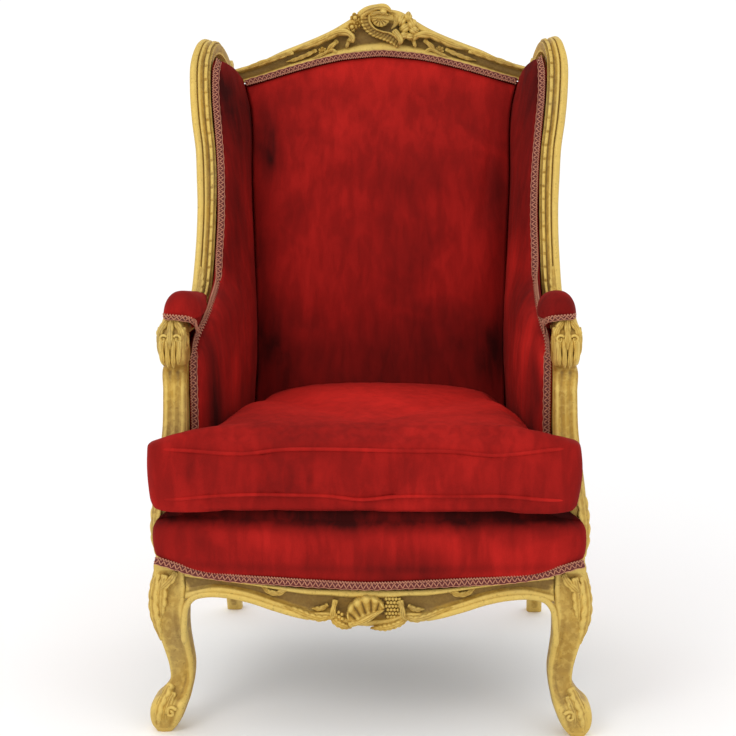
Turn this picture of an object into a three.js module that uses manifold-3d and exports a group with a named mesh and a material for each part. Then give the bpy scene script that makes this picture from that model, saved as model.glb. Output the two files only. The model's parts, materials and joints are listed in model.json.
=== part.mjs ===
// A winged throne chair: gilt carved wood frame, red velvet upholstery, loose T-shaped seat cushion.
// Millimetres, +Z up, the front of the chair faces -Y. Y = 0 is the line of the front feet.
import * as THREE from "three";
import { mergeVertices } from "three/addons/utils/BufferGeometryUtils.js";
import Module from "manifold-3d";

const wasm = await Module();
wasm.setup();

// ---- Driving dimensions ---------------------------------------------------------------------
const FRONT_FOOT_X = 336; // half the distance between the front feet
const BACK_FOOT_X = 303; // half the distance between the back feet
const LEG_BLOCK_INNER = 298.5; // inner face of the front leg blocks, where the front rail butts
const RAKE = 0.19; // how far the back leans, per unit of height
const RAKE_Y = 600; // front face of the back frame at the height RAKE_Z
const RAKE_Z = 1050;
const STILE_THICK = 40; // front to back size of the back posts
const STILE_HALF = 19; // half the width of the back posts
const STILE_TOP = 1094;
const DECK_TOP = 384; // top of the fixed seat, under the loose cushion
const CUSHION_BOTTOM = 385;
const CUSHION_TOP = 492; // height of the cushion's upper seam
const CUSHION_SHIFT = -6; // the loose cushion lies a little to one side
const CUSHION_FRONT = -60;
const CUSHION_BACK = 450;
const PAD_LOW = 386; // lower edge of the inside pads, just above the fixed seat
const ARM_RAIL_TOP = 681;
const ARM_PAD_TOP = 725; // top of the arm pads at their front end, from where they fall to the back
const POST_FOOT = 285.6;
const KNUCKLE_FOOT = 601; // undercut below the carved arm knuckle
const GIMP_WIDTH = 16;
const GIMP_THICK = 2.6;
const GAP = 0.5; // clearance left between neighbouring pieces

const GILT = { color: 0xc79c3a, roughness: 0.42, metalness: 0.75 };
const VELVET = { color: 0xa31a1c, roughness: 0.9, metalness: 0 };
const BRAID = { color: 0xb0603c, roughness: 0.8, metalness: 0.1 };
const LINEN = { color: 0x1c1a19, roughness: 0.95, metalness: 0 };

// Outline stops: [position, value] pairs, joined by a smooth curve.
const RAIL_TOP = [[0, 254], [83, 255], [166, 261], [242, 267], [299, 276]];
const RAIL_LOW = [[0, 194], [37, 197], [62, 206], [95, 207], [143, 221], [195, 236], [249, 241], [299, 229]];
const RAIL_FRONT = [[0, -46], [120, -44], [220, -33], [299, -22]];
const DECK_LOW = [[0, 270], [166, 277], [242, 283], [290, 291], [320, 299], [351, 306]];
const CREST_TOP = [[0, 1190], [38, 1183], [66, 1166], [92, 1151], [120, 1138], [155, 1124], [191, 1110],
  [230, 1092], [283, 1076]];
const CREST_LOW = [[0, 1107], [77, 1100], [152, 1083], [228, 1061], [283, 1046]];
const LEG_OUTER = [[0, 350], [15, 357], [40, 358], [52, 353], [65, 339], [80, 330], [104, 330], [126, 334],
  [155, 341], [185, 348], [208, 352], [230, 351], [258, 349], [285, 349]];
const LEG_INNER = [[0, 328], [15, 318], [40, 308], [60, 301], [80, 296], [108, 294], [137, 297], [163, 300],
  [190, 301], [214, 300], [236, 299], [285, 299]];
const POST_OUTER = [[286, 348], [345, 350], [392, 349], [454, 342], [500, 337], [560, 335], [600, 334],
  [603, 332], [608, 335], [640, 337], [665, 335], [681, 331]];
const POST_INNER = [[286, 306], [345, 309], [392, 306], [454, 299], [500, 296], [560, 296], [600, 296],
  [603, 296], [608, 294], [640, 293.5], [665, 295], [681, 299]];
const POST_FRONT = [[286, -6], [345, -3], [392, 4], [454, 18], [500, 30], [560, 36], [600, 38],
  [603, 34], [608, 26], [625, 16], [650, 14], [668, 22], [681, 34]];
const POST_BACK = [[286, 46], [345, 48], [392, 54], [454, 66], [500, 74], [560, 78], [600, 80], [681, 84]];
// Wing edge stations: depth, height, outer and inner half-width of the moulding.
const WING = [[301, 668, 330, 297], [326, 681, 329, 295], [350, 718, 327, 293], [380, 781, 325, 292],
  [402, 830, 325.5, 292], [422, 880, 328.5, 293], [440, 930, 332, 296.5], [456, 984, 340, 303],
  [474, 1040, 345, 307.5], [492, 1086, 345, 308], [513, 1111, 338, 304], [545, 1118, 330, 298],
  [578, 1104, 323, 291], [601, 1082, 321, 285]];

const LEG_SIDES = 12;
const POST_SIDES = 14;

// ---- Mesh helpers ---------------------------------------------------------------------------
const V = (x, y, z) => new THREE.Vector3(x, y, z);
const mix = (a, b, t) => a + (b - a) * t;
const ease = (t) => {
  const k = Math.min(1, Math.max(0, t));
  return k * k * (3 - 2 * k);
};
const range = (count, make) => Array.from({ length: count }, (_, index) => make(index));

// Value at t of a smooth curve through the stops (cubic pieces with averaged slopes).
function smooth(stops, t) {
  const last = stops.length - 1;
  const k = Math.min(last - 1, Math.max(0, stops.findIndex((stop) => stop[0] >= t) - 1));
  const [t0, v0] = stops[k];
  const [t1, v1] = stops[k + 1];
  const slope = (a, b) => (stops[b][1] - stops[a][1]) / (stops[b][0] - stops[a][0]);
  const here = slope(k, k + 1);
  const before = k > 0 ? (slope(k - 1, k) + here) / 2 : here;
  const after = k + 1 < last ? (here + slope(k + 1, k + 2)) / 2 : here;
  const span = t1 - t0;
  const s = Math.min(1, Math.max(0, (t - t0) / span));
  const rise = before * (s ** 3 - 2 * s ** 2 + s) + after * (s ** 3 - s ** 2);
  return v0 * (2 * s ** 3 - 3 * s ** 2 + 1) + v1 * (3 * s ** 2 - 2 * s ** 3) + rise * span;
}

// Volume with a sign, which is negative when the faces point inwards.
function signedVolume(points, faces) {
  const volume = (f) => points[f[0]].dot(V().crossVectors(points[f[1]], points[f[2]])) / 6;
  return faces.reduce((sum, face) => sum + volume(face), 0);
}

function toGeometry(points, faces) {
  const outward = signedVolume(points, faces) > 0 ? faces : faces.map(([a, b, c]) => [a, c, b]);
  const geometry = new THREE.BufferGeometry();
  geometry.setFromPoints(points);
  geometry.setIndex(outward.flat());
  return geometry;
}

// Closed solid through a row of rings with equal point counts, capped at both ends.
function loft(rings) {
  const count = rings[0].length;
  const points = rings.flat();
  const faces = [];
  for (let i = 0; i + 1 < rings.length; i += 1) {
    for (let j = 0; j < count; j += 1) {
      const [a, b] = [i * count + j, i * count + (j + 1) % count];
      faces.push([a, b, b + count], [a, b + count, a + count]);
    }
  }
  const cap = (ring, start, flip) => {
    const middle = points.push(ring.reduce((sum, p) => sum.add(p), V(0, 0, 0)).divideScalar(count)) - 1;
    ring.forEach((_, j) => {
      const [a, b] = [start + j, start + (j + 1) % count];
      faces.push(flip ? [middle, b, a] : [middle, a, b]);
    });
  };
  cap(rings[0], 0, true);
  cap(rings[rings.length - 1], (rings.length - 1) * count, false);
  return toGeometry(points, faces);
}

// Closed solid between two surfaces over the same grid, such as a pad or a panel.
function slab(columns, rows, face, back) {
  const side = (surface) => range((columns + 1) * (rows + 1), (n) => {
    return surface((n % (columns + 1)) / columns, Math.floor(n / (columns + 1)) / rows);
  });
  const points = [...side(face), ...side(back)];
  const step = columns + 1;
  const offset = step * (rows + 1);
  const faces = [];
  for (let j = 0; j < rows; j += 1) {
    for (let i = 0; i < columns; i += 1) {
      const a = j * step + i;
      faces.push([a, a + 1, a + step + 1], [a, a + step + 1, a + step]);
      faces.push([a + offset, a + step + 1 + offset, a + 1 + offset]);
      faces.push([a + offset, a + step + offset, a + step + 1 + offset]);
    }
  }
  const rim = [
    ...range(columns, (i) => [i, i + 1]),
    ...range(rows, (j) => [j * step + columns, (j + 1) * step + columns]),
    ...range(columns, (i) => [rows * step + columns - i, rows * step + columns - i - 1]),
    ...range(rows, (j) => [(rows - j) * step, (rows - j - 1) * step]),
  ];
  rim.forEach(([a, b]) => faces.push([a, b + offset, b], [a, a + offset, b + offset]));
  return toGeometry(points, faces);
}

function toSolid(geometry) {
  const bare = geometry.clone();
  bare.deleteAttribute("normal");
  bare.deleteAttribute("uv");
  const merged = mergeVertices(bare, 1e-4);
  const vertProperties = new Float32Array(merged.attributes.position.array);
  const triVerts = new Uint32Array(merged.index.array);
  return new wasm.Manifold(new wasm.Mesh({ numProp: 3, vertProperties, triVerts }));
}

function fromSolid(solid) {
  const mesh = solid.getMesh();
  const geometry = new THREE.BufferGeometry();
  geometry.setAttribute("position", new THREE.BufferAttribute(mesh.vertProperties, 3));
  geometry.setIndex(new THREE.BufferAttribute(mesh.triVerts, 1));
  return geometry;
}

const join = (...geometries) => {
  return fromSolid(geometries.map(toSolid).reduce((sum, next) => sum.add(next)));
};

function mirrored(geometry) {
  const copy = geometry.clone();
  copy.scale(-1, 1, 1);
  const index = copy.index.array;
  for (let n = 0; n < index.length; n += 3) {
    [index[n + 1], index[n + 2]] = [index[n + 2], index[n + 1]];
  }
  return copy;
}

// ---- Carving helpers ------------------------------------------------------------------------
// A carved leaf: a lens-shaped blade with a raised rib, along a curve, its face towards "facing".
function leaf(stops, width, thick, facing, steps = 3) {
  const curve = new THREE.CatmullRomCurve3(stops);
  const out = facing.clone().normalize();
  return loft(range(steps + 1, (i) => {
    const t = i / steps;
    const tangent = curve.getTangent(t);
    const across = V().crossVectors(out, tangent).normalize();
    const half = width / 2 * (0.2 + 0.8 * Math.sin(Math.PI * Math.min(0.96, 0.12 + t * 0.9)) ** 0.7);
    const high = thick * (0.55 + 0.45 * Math.sin(Math.PI * (0.15 + 0.8 * t)));
    const section = [[-1, 0], [-0.4, 0.85], [0.4, 0.85], [1, 0], [0, -0.8]];
    const at = curve.getPoint(t);
    return section.map(([a, h]) => at.clone()
      .addScaledVector(across, a * half)
      .addScaledVector(out, h * high));
  }));
}

// A scallop shell fan with raised ribs and a scalloped rim, facing -Y.
function fan(centre, radius, from, to, ribs, lift) {
  const steps = ribs * 2;
  const rings = 3;
  const rise = [0.55, 1, 0.85, 0.25];
  const face = (u, v) => {
    const angle = mix(from, to, u);
    const ridge = Math.round(u * steps) % 2;
    const reach = radius * mix(0.16, 1 - 0.09 * (1 - ridge), v);
    const height = lift * rise[Math.round(v * rings)] * (ridge ? 1 : 0.62);
    return V(centre.x + Math.cos(angle) * reach, centre.y - height, centre.z + Math.sin(angle) * reach);
  };
  const back = (u, v) => {
    const at = face(u, v);
    return V(at.x, centre.y + 12, at.z);
  };
  return slab(steps, rings, face, back);
}

function pearl(x, y, z, radius) {
  const ball = new THREE.SphereGeometry(radius, 6, 3);
  ball.translate(x, y, z);
  return ball;
}

// ---- Frame ----------------------------------------------------------------------------------
const backFace = (z) => RAKE_Y + RAKE * (z - RAKE_Z);
const LEG_SWEEP = [[0, 597], [60, 561], [130, 521], [200, 486], [262, 466], [325, 463],
  [400, backFace(400)]];
const stileFront = (z) => (z < 400 ? smooth(LEG_SWEEP, z) : backFace(z));
const crestBow = (x) => 16 * (1 - (x / 283) ** 2);

// Section of a front leg: four corners on the diagonals, hollow outer faces, a bead on two corners.
function legSection(z) {
  const outer = smooth(LEG_OUTER, z);
  const inner = smooth(LEG_INNER, z);
  const half = (outer - inner) / 2;
  const x = (outer + inner) / 2;
  const y = FRONT_FOOT_X - x;
  const block = ease((z - 205) / 30);
  const power = mix(1.45, 1.03, block);
  const carved = Math.sin(Math.PI * Math.min(1, Math.max(0, z / 285))) * (1 - block);
  return range(LEG_SIDES, (j) => {
    const angle = j / LEG_SIDES * 2 * Math.PI;
    const [c, s] = [Math.abs(Math.cos(angle)), Math.abs(Math.sin(angle))];
    const square = Math.SQRT2 * half / (c ** power + s ** power) ** (1 / power);
    const front = Math.cos(angle) > 0.05 ? 1 : 0;
    const hollow = 1 - 0.1 * carved * front * Math.sin(2 * angle) ** 2;
    const bead = 1 + 0.09 * carved * Math.exp(-(((s - 1) / 0.05) ** 2));
    const reach = Math.min(square * hollow * bead, half * Math.SQRT2 * 1.0);
    const turned = angle - Math.PI / 4;
    return V(x + Math.cos(turned) * reach, y + Math.sin(turned) * reach, z);
  });
}

function frontLeg() {
  const heights = [0, 10, 30, 48, 58, 68, 84, 108, 134, 160, 184, 204, 220, 236, 285];
  const leg = loft(heights.map(legSection));
  const knee = V(1, -1, 0.25);
  const kneeLeaves = [-1, 1].map((side) => leaf([
    V(346 + side * 4, -8 + side * 4, 262),
    V(351 + side * 5, -13 + side * 5, 222),
    V(349 + side * 2, -11 + side * 2, 182),
    V(340, -2, 148),
  ], 20, 6, knee));
  const toe = leaf([V(330, 4, 82), V(341, -6, 70), V(352, -15, 52), V(356, -19, 30)], 26, 6, V(1, -1, 0.4));
  return join(leg, toe, ...kneeLeaves);
}

// Post that rises from the front leg and ends in the carved knuckle of the arm.
function postSection(z) {
  const [outer, inner] = [smooth(POST_OUTER, z), smooth(POST_INNER, z)];
  const [front, back] = [smooth(POST_FRONT, z), smooth(POST_BACK, z)];
  const knuckle = ease((z - KNUCKLE_FOOT) / 6);
  return range(POST_SIDES, (j) => {
    const angle = (j + 0.5) / POST_SIDES * 2 * Math.PI;
    const [c, s] = [Math.cos(angle), Math.sin(angle)];
    const reach = (Math.abs(c) ** 5 + Math.abs(s) ** 5) ** (-1 / 5);
    const across = c * reach;
    const reed = s < -0.7 ? Math.cos(across * Math.PI * mix(2, 3, knuckle)) : 1;
    const depth = s * reach * (1 - mix(0.08, 0.12, knuckle) * (1 - reed) / 2);
    return V(mix(inner, outer, (across + 1) / 2), mix(front, back, (depth + 1) / 2), z);
  });
}

function armFrame() {
  const heights = [POST_FOOT, 345, 400, 454, 500, 600, 603, 611, 640, 665, 681];
  const post = loft(heights.map(postSection));
  const rail = loft(range(4, (i) => {
    const y = mix(60, 300, i / 3);
    const [low, top] = [mix(648, 640, i / 3), ARM_RAIL_TOP];
    return [[297, low + 4], [303, low], [323, low], [331, low + 8], [329, top - 14], [333, top - 7],
      [331, top], [297, top]].map(([x, z]) => V(x, y, z));
  }));
  const facing = V(0, -1, 0.3);
  const tips = [-1, 0, 1].map((side) => leaf([
    V(315 + side * 9, 34, 673),
    V(315 + side * 12, 15, 660),
    V(315 + side * 13, 12, 635),
    V(315 + side * 11, 24, 606),
  ], 14, 5, facing));
  return join(post, rail, ...tips);
}

// Moulding around a wing: an outer roll, a groove and an inner band, from the arm to the back post.
function wingFrame() {
  const path = new THREE.CatmullRomCurve3(WING.map(([y, z]) => V(0, y, z)));
  const outers = new THREE.SplineCurve(WING.map(([, , outer, inner]) => new THREE.Vector2(outer, inner)));
  const steps = 21;
  const profile = [[1, -14], [1, 5], [0.82, 14], [0.55, 14], [0.36, 5], [0.22, 9], [0, 8], [0, -14]];
  return loft(range(steps + 1, (i) => {
    const t = i / steps;
    const at = path.getPoint(t);
    const tangent = i ? path.getTangent(t) : V(0, 1, 0);
    if (i === steps) tangent.set(0, 0.96, -0.28);
    const out = V(0, -tangent.z, tangent.y);
    const edge = outers.getPoint(t);
    return profile.map(([a, h]) => V(mix(edge.y, edge.x, a), at.y + out.y * h, at.z + out.z * h));
  }));
}

// Back leg and back post in one piece: sweeps back to the floor and leans back above the seat.
function backLeg() {
  const legX = [[0, BACK_FOOT_X], [120, 300], [270, 303]];
  const heights = [0, 40, 80, 120, 160, 200, 240, 280, 330, 400, 750, STILE_TOP];
  return loft(heights.map((z) => {
    const y = stileFront(z) + STILE_THICK / 2;
    const x = smooth(legX, Math.min(z, 270));
    const slim = mix(0.78, 1, ease(z / 230));
    return range(8, (j) => {
      const angle = (j + 0.5) / 8 * 2 * Math.PI;
      const [c, s] = [Math.cos(angle), Math.sin(angle)];
      const reach = (Math.abs(c) ** 5 + Math.abs(s) ** 5) ** (-1 / 5);
      const deep = STILE_THICK / 2 - GAP;
      return V(x + c * reach * STILE_HALF * slim, y + s * reach * deep * slim, z);
    });
  }));
}

// Serpentine front rail: bead along the lower edge, hollow face, narrow lip under the braid.
function railSection(x) {
  const [low, top] = [smooth(RAIL_LOW, Math.abs(x)), smooth(RAIL_TOP, Math.abs(x))];
  const front = smooth(RAIL_FRONT, Math.abs(x));
  const profile = [[34, 4], [12, 0], [4, 0], [0, 4], [0, 8], [3, 12]];
  const lower = profile.map(([y, z]) => V(x, front + y, low + z));
  const hollow = [0.35, 0.65].map((t) => V(x, front + 7, mix(low + 12, top - 10, t)));
  return [...lower, ...hollow, V(x, front + 2, top - 8), V(x, front + 2, top), V(x, front + 34, top)];
}

function frontRail() {
  const stations = range(21, (i) => mix(-LEG_BLOCK_INNER + 1, LEG_BLOCK_INNER - 1, i / 20));
  const rail = loft(stations.map(railSection));
  const face = smooth(RAIL_FRONT, 0);
  const shell = fan(V(-19, face + 1, 203), 42, Math.PI * 0.16, Math.PI * 0.92, 5, 13);
  const hinge = leaf([V(-36, face - 4, 198), V(-16, face - 8, 205), V(12, face - 6, 222)], 11, 8,
    V(0, -1, 0));
  const frill = leaf([V(-62, face, 204), V(-20, face - 2, 200), V(20, face - 2, 200), V(58, face, 205)], 13,
    8, V(0, -1, -0.3));
  const pearls = range(5, (n) => pearl(26 + (n % 2) * 13, face + 2, 206 + n * 7, 8));
  const scrolls = [-1, 1].flatMap((side) => [
    leaf([V(side * 62, face + 3, 232), V(side * 58, face - 1, 214), V(side * 72, face, 204),
      V(side * 112, face + 3, 214)], 12, 8, V(0, -1, 0)),
    leaf([V(side * 132, face + 10, 252), V(side * 150, face + 8, 246), V(side * 168, face + 12, 254)], 10, 6,
      V(0, -1, 0)),
  ]);
  return join(rail, shell, hinge, frill, ...pearls, ...scrolls);
}

function sideRail() {
  const [start, end] = [46.5, stileFront(281) - 1.5];
  return loft(range(6, (i) => {
    const t = i / 5;
    const outer = mix(349, 324, t);
    const low = 229 + 9 * Math.sin(Math.PI * t);
    const top = mix(281, 279, t);
    const tall = top - low;
    return [[34, 4], [10, 0], [3, 1], [0, 5], [2, 11], [5, 18], [5, 36], [2, 42], [2, tall], [34, tall]]
      .map(([inset, z]) => V(outer - inset, mix(start, end, t), low + z));
  }));
}

function backRail() {
  const edge = BACK_FOOT_X - STILE_HALF - 1.6;
  return loft([-edge, -edge / 2, 0, edge / 2, edge].map((x) => {
    const low = 226 - 12 * (1 - (x / edge) ** 2);
    return [[4, low], [30, low], [34, low + 5], [34, 276], [4, 276]]
      .map(([y, z]) => V(x, stileFront(262) + y, z));
  }));
}

// Arched top rail with its carved cartouche.
function crestSection(x) {
  const [low, top] = [smooth(CREST_LOW, Math.abs(x)), smooth(CREST_TOP, Math.abs(x))];
  const at = (deep, z) => V(x, backFace(z) + crestBow(x) + deep, z);
  const high = (t) => mix(low, top, t);
  return [at(40, high(0)), at(1, high(0)), at(-1, high(0.1)), at(6, high(0.3)), at(8, high(0.55)),
    at(1, high(0.74)), at(-5, high(0.86)), at(0, high(0.97)), at(14, high(1)), at(36, high(0.94))];
}

function crestRail() {
  const edge = BACK_FOOT_X - STILE_HALF - 1;
  const rail = loft(range(23, (i) => crestSection(mix(-edge, edge, i / 22))));
  const front = V(0, -1, 0.15);
  const at = (x, z, lift) => V(x, backFace(z) + crestBow(x) - lift, z);
  const shell = fan(at(14, 1160, 4), 60, Math.PI * 0.88, Math.PI * 1.72, 6, 13);
  const hood = leaf([at(-50, 1158, 4), at(-28, 1175, 9), at(6, 1186, 11), at(36, 1176, 5)], 26, 13, front);
  const band = leaf([at(-46, 1164, 6), at(-24, 1142, 12), at(10, 1134, 13), at(34, 1122, 8),
    at(38, 1112, 4)], 13, 8, front);
  const heart = leaf([at(2, 1178, 12), at(10, 1168, 15), at(14, 1158, 8)], 15, 10, front);
  const flowers = [[-66, 1154, 17], [-80, 1141, 14], [54, 1160, 18], [76, 1148, 15], [68, 1136, 14]];
  const petals = flowers.map(([x, z, size]) => {
    return leaf([at(x - size / 2, z - size / 3, 2), at(x, z, 8), at(x + size / 2, z + size / 3, 2)],
      size, 13, front);
  });
  const scrolls = [-1, 1].flatMap((side) => [
    leaf([at(side * 84, 1140, 5), at(side * 104, 1131, 7), at(side * 132, 1122, 4), at(side * 172, 1108, 1)],
      17, 9, front),
    leaf([at(side * 92, 1128, 3), at(side * 112, 1112, 5), at(side * 138, 1104, 1)], 13, 7, front),
    leaf([at(side * 180, 1102, 2), at(side * 214, 1088, 4), at(side * 252, 1078, 1)], 12, 7, front),
  ]);
  return join(rail, shell, hood, band, heart, ...petals, ...scrolls);
}

// ---- Upholstery -----------------------------------------------------------------------------
// Rounded border of the fixed seat, wider in front of the arm posts than between them.
function seatDeck() {
  const halfWidth = (y) => mix(351, 291, ease((y + 16) / 7)) - 30 * ease((y - 60) / 400);
  const depths = [-56, -50, -34, -17, -10, 40, 150, 300, backFace(386) - 12];
  const across = [-1, -0.96, -0.86, -0.6, -0.3, 0, 0.3, 0.6, 0.86, 0.96, 1];
  const place = (u, v) => {
    const depth = depths[Math.round(v * (depths.length - 1))];
    const side = across[Math.round(u * (across.length - 1))];
    const x = side * (halfWidth(depth) - (depth < -40 ? 12 : 0));
    const bow = smooth(RAIL_FRONT, Math.min(299, Math.abs(x))) + 46;
    return { x, y: depth + bow * (depth < -20 ? 1 : 0) * ease((-17 - depth) / 30), depth, side };
  };
  const corner = (side) => Math.max(0, Math.abs(side) - 0.9) * 10;
  const top = (u, v) => {
    const { x, y, depth, side } = place(u, v);
    const rim = ease((depth + 56) / 60);
    const shoulder = depth < -20 ? corner(side) * 26 : 4 * corner(side);
    return V(x, y, mix(344, DECK_TOP, rim ** 0.6) - shoulder * (1 - 0.4 * rim));
  };
  const bottom = (u, v) => {
    const { x, y, depth } = place(u, v);
    const low = smooth(DECK_LOW, Math.min(351, Math.abs(x)));
    return V(x, y, depth < -40 ? mix(low + 22, low + 2, (depth + 56) / 16) : Math.max(low, 286));
  };
  return slab(across.length - 1, depths.length - 1, top, bottom);
}

// Loose cushion: T-shaped in plan, boxed sides, crowned top.
function seatCushion() {
  const halfWidth = (y) => {
    if (y < 0) return 342 - 10 * ease((-y - 40) / 20);
    return mix(mix(283, 246, ease((y - 10) / 250)), 229, ease((y - 250) / 190));
  };
  const depths = [CUSHION_FRONT, -52, -36, -10, 2, 60, 150, 250, 350, 432, CUSHION_BACK];
  const across = [-1, -0.96, -0.85, -0.6, -0.3, 0, 0.3, 0.6, 0.85, 0.96, 1];
  const edge = (side, v) => {
    const toSide = 1 - Math.abs(side) ** 8;
    const toEnd = Math.min(1, Math.sin(Math.PI * Math.min(1, Math.max(0, v))) * 3);
    return Math.sqrt(Math.max(0, toSide)) * toEnd;
  };
  const surface = (high) => (u, v) => {
    const y = depths[Math.round(v * (depths.length - 1))];
    const side = across[Math.round(u * (across.length - 1))];
    const along = (y - CUSHION_FRONT) / (CUSHION_BACK - CUSHION_FRONT);
    const crown = edge(side, along);
    const tuck = 4 * (1 - crown);
    const x = CUSHION_SHIFT * (y < 20 ? 1 : 0.2) + side * (halfWidth(y) - (high ? 0 : 3));
    const lean = high && y > -20 && y < 10 ? 17 : 0;
    const level = mix(CUSHION_TOP, 478, ease(along)) - tuck;
    const dome = 16 * crown * Math.sin(Math.PI * (0.08 + 0.84 * along));
    return V(x, y + lean, high ? level + dome : CUSHION_BOTTOM + 3 * tuck);
  };
  return slab(across.length - 1, depths.length - 1, surface(true), surface(false));
}

function insideBack() {
  const low = PAD_LOW;
  const half = (z) => smooth([[low, 236], [550, 234], [718, 237], [868, 243], [1000, 246], [1055, 259]], z);
  const outline = (u, v) => {
    const side = 2 * u - 1;
    const top = smooth(CREST_LOW, Math.min(1, Math.abs(side)) * 262) - 10;
    const z = mix(low, top, v);
    return { x: side * half(Math.min(z, 1055)), z, side };
  };
  const face = (u, v) => {
    const { x, z, side } = outline(u, v);
    const crown = (1 - side ** 6) * Math.sin(Math.PI * Math.min(1, 0.12 + 0.88 * v)) ** 0.5;
    return V(x, backFace(z) + crestBow(x) * ease((z - 900) / 150) - 2 - 24 * crown, z);
  };
  const back = (u, v) => {
    const { x, z } = outline(u, v);
    return V(x, backFace(z) + crestBow(x) * ease((z - 900) / 150) + 22, z);
  };
  return slab(8, 7, face, back);
}

// Inside of the arm and wing: one pad from the seat to the top of the wing.
const PAD_FRONT = [[66, PAD_LOW], [66, 480], [67, 550], [78, 606], [117, 633], [177, 657], [252, 680],
  [330, 706], [365, 756], [389, 808], [411, 860], [432, 912], [451, 970], [467, 1026], [484, 1072], [504, 1092]];
const PAD_REAR = [PAD_LOW, 470, 530, 576, 604, 628, 655, 694, 746, 798, 848, 898, 954, 1004, 1040, 1056];
const PAD_FRONT_X = [288, 288, 288, 289, 290, 284, 282, 282.5, 282.5, 281.5, 283, 286, 291.5, 297, 297.5,
  296];
// Half-width at the back corner of the same pad, by height.
const PAD_REAR_X = [[PAD_LOW, 242], [475, 240], [550, 236], [718, 240], [868, 246], [1000, 249], [1056, 262]];

function padPoint(u, v) {
  const at = u * (PAD_FRONT.length - 1);
  const stops = (values) => smooth(values.map((value, n) => [n, value]), at);
  const [frontY, frontZ] = [stops(PAD_FRONT.map((p) => p[0])), stops(PAD_FRONT.map((p) => p[1]))];
  const rearZ = stops(PAD_REAR);
  const rearX = smooth(PAD_REAR_X, rearZ);
  const rearY = backFace(rearZ) - 3;
  const frontX = stops(PAD_FRONT_X);
  return { x: mix(frontX, rearX, v), y: mix(frontY, rearY, v), z: mix(frontZ, rearZ, v), frontX };
}

function insideWing() {
  const face = (u, v) => {
    const { x, y, z } = padPoint(u, v);
    const bulge = 16 * Math.sin(Math.PI * v) ** 0.6 * mix(1, 0.4, ease((z - 600) / 150));
    return V(x - bulge, y, z);
  };
  const back = (u, v) => {
    const { x, y, z, frontX } = padPoint(u, v);
    return V(mix(frontX + 3, Math.max(x + 12, 294), ease((v - 0.14) / 0.12)), y, z);
  };
  return slab(15, 5, face, back);
}

// Inner edge of an arm pad, which draws in towards the wing.
const PAD_INNER = [[26, 276], [50, 272], [150, 276], [220, 287], [280, 295]];
// Lower edge of the velvet that hangs from the pad over the inner side of the arm rail.
const SKIRT_LOW = [[38, 680], [60, 671], [100, 656], [150, 658], [190, 669], [225, 680]];

function armPad() {
  const rings = [0, 0.04, 0.12, 0.4, 0.8, 0.93, 1];
  const pad = loft(rings.map((t) => {
    const y = mix(26, 280, t);
    const round = Math.sqrt(Math.max(0, 1 - (1 - Math.min(1, t / 0.12)) ** 2));
    const inner = smooth(PAD_INNER, y);
    const half = (332 - inner) / 2 * mix(0.55, 1, round);
    const high = mix(0.35, 1, round) * (ARM_PAD_TOP - ARM_RAIL_TOP - 0.14 * Math.max(0, y - 45));
    return range(9, (j) => {
      const angle = Math.PI * j / 8;
      const x = (332 + inner) / 2 + half * Math.sign(Math.cos(angle)) * Math.abs(Math.cos(angle)) ** 0.6;
      return V(x, y, ARM_RAIL_TOP + GAP + high * Math.sin(angle) ** 0.75);
    });
  }));
  const skirt = loft(SKIRT_LOW.map(([y, low]) => {
    const high = ARM_RAIL_TOP + 4;
    return [[288, low], [292, low], [292, high], [288, high]].map(([x, z]) => V(x, y, z));
  }));
  return join(pad, skirt);
}

function outsideArm() {
  const place = (u, v) => {
    const z = mix(283, 634, u);
    const front = smooth(POST_BACK, Math.min(z, 600)) + 5;
    return { x: mix(mix(340, 326, ease(u * 2)), 317, v), y: mix(front, stileFront(z) - 5, v), z };
  };
  const face = (u, v) => {
    const { x, y, z } = place(u, v);
    return V(x + 5 * Math.sin(Math.PI * u) * Math.sin(Math.PI * v), y, z);
  };
  const back = (u, v) => {
    const { x, y, z } = place(u, v);
    return V(x - 8, y, z);
  };
  return slab(4, 4, face, back);
}

function outsideWing() {
  const front = [[332, 645], [352, 674], [374, 718], [400, 781], [422, 830], [442, 880], [459, 930], [475, 984],
    [493, 1036], [512, 1074], [528, 1085], [546, 1087], [562, 1079]];
  const rear = [645, 674, 700, 756, 810, 858, 904, 950, 996, 1032, 1044, 1052, 1056];
  const place = (u, v) => {
    const at = u * (front.length - 1);
    const stops = (values) => smooth(values.map((value, n) => [n, value]), at);
    const [y, z] = [stops(front.map((p) => p[0])), stops(front.map((p) => p[1]))];
    const rearZ = stops(rear);
    const x = smooth([[642, 322], [781, 318], [930, 324], [1040, 334], [1114, 322]], z);
    return V(mix(x, 319, v), mix(y, backFace(rearZ) - 1.5, v), mix(z, rearZ, v));
  };
  const face = (u, v) => place(u, v).add(V(4 * Math.sin(Math.PI * u) * Math.sin(Math.PI * v), 0, 0));
  const back = (u, v) => place(u, v).add(V(-8, 0, 0));
  return slab(12, 2, face, back);
}

function outsideBack() {
  const edge = BACK_FOOT_X - STILE_HALF - 1.5;
  const place = (u, v, deep) => {
    const x = mix(-edge, edge, u);
    const z = mix(278, smooth(CREST_LOW, Math.abs(x)) - 2, v);
    return V(x, backFace(z) + crestBow(x) * ease((z - 900) / 150) + deep, z);
  };
  const bulge = (u, v) => 6 * Math.sin(Math.PI * u) * Math.sin(Math.PI * v);
  return slab(6, 6, (u, v) => place(u, v, 27), (u, v) => place(u, v, 36 + bulge(u, v)));
}

function dustCover() {
  const [front, rear] = [14, stileFront(250) - 2];
  return loft([front, rear].map((y) => {
    const half = mix(296, 282, (y - front) / (rear - front));
    return [[-half, 246], [half, 246], [half, 249], [-half, 249]].map(([x, z]) => V(x, y, z));
  }));
}

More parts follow.
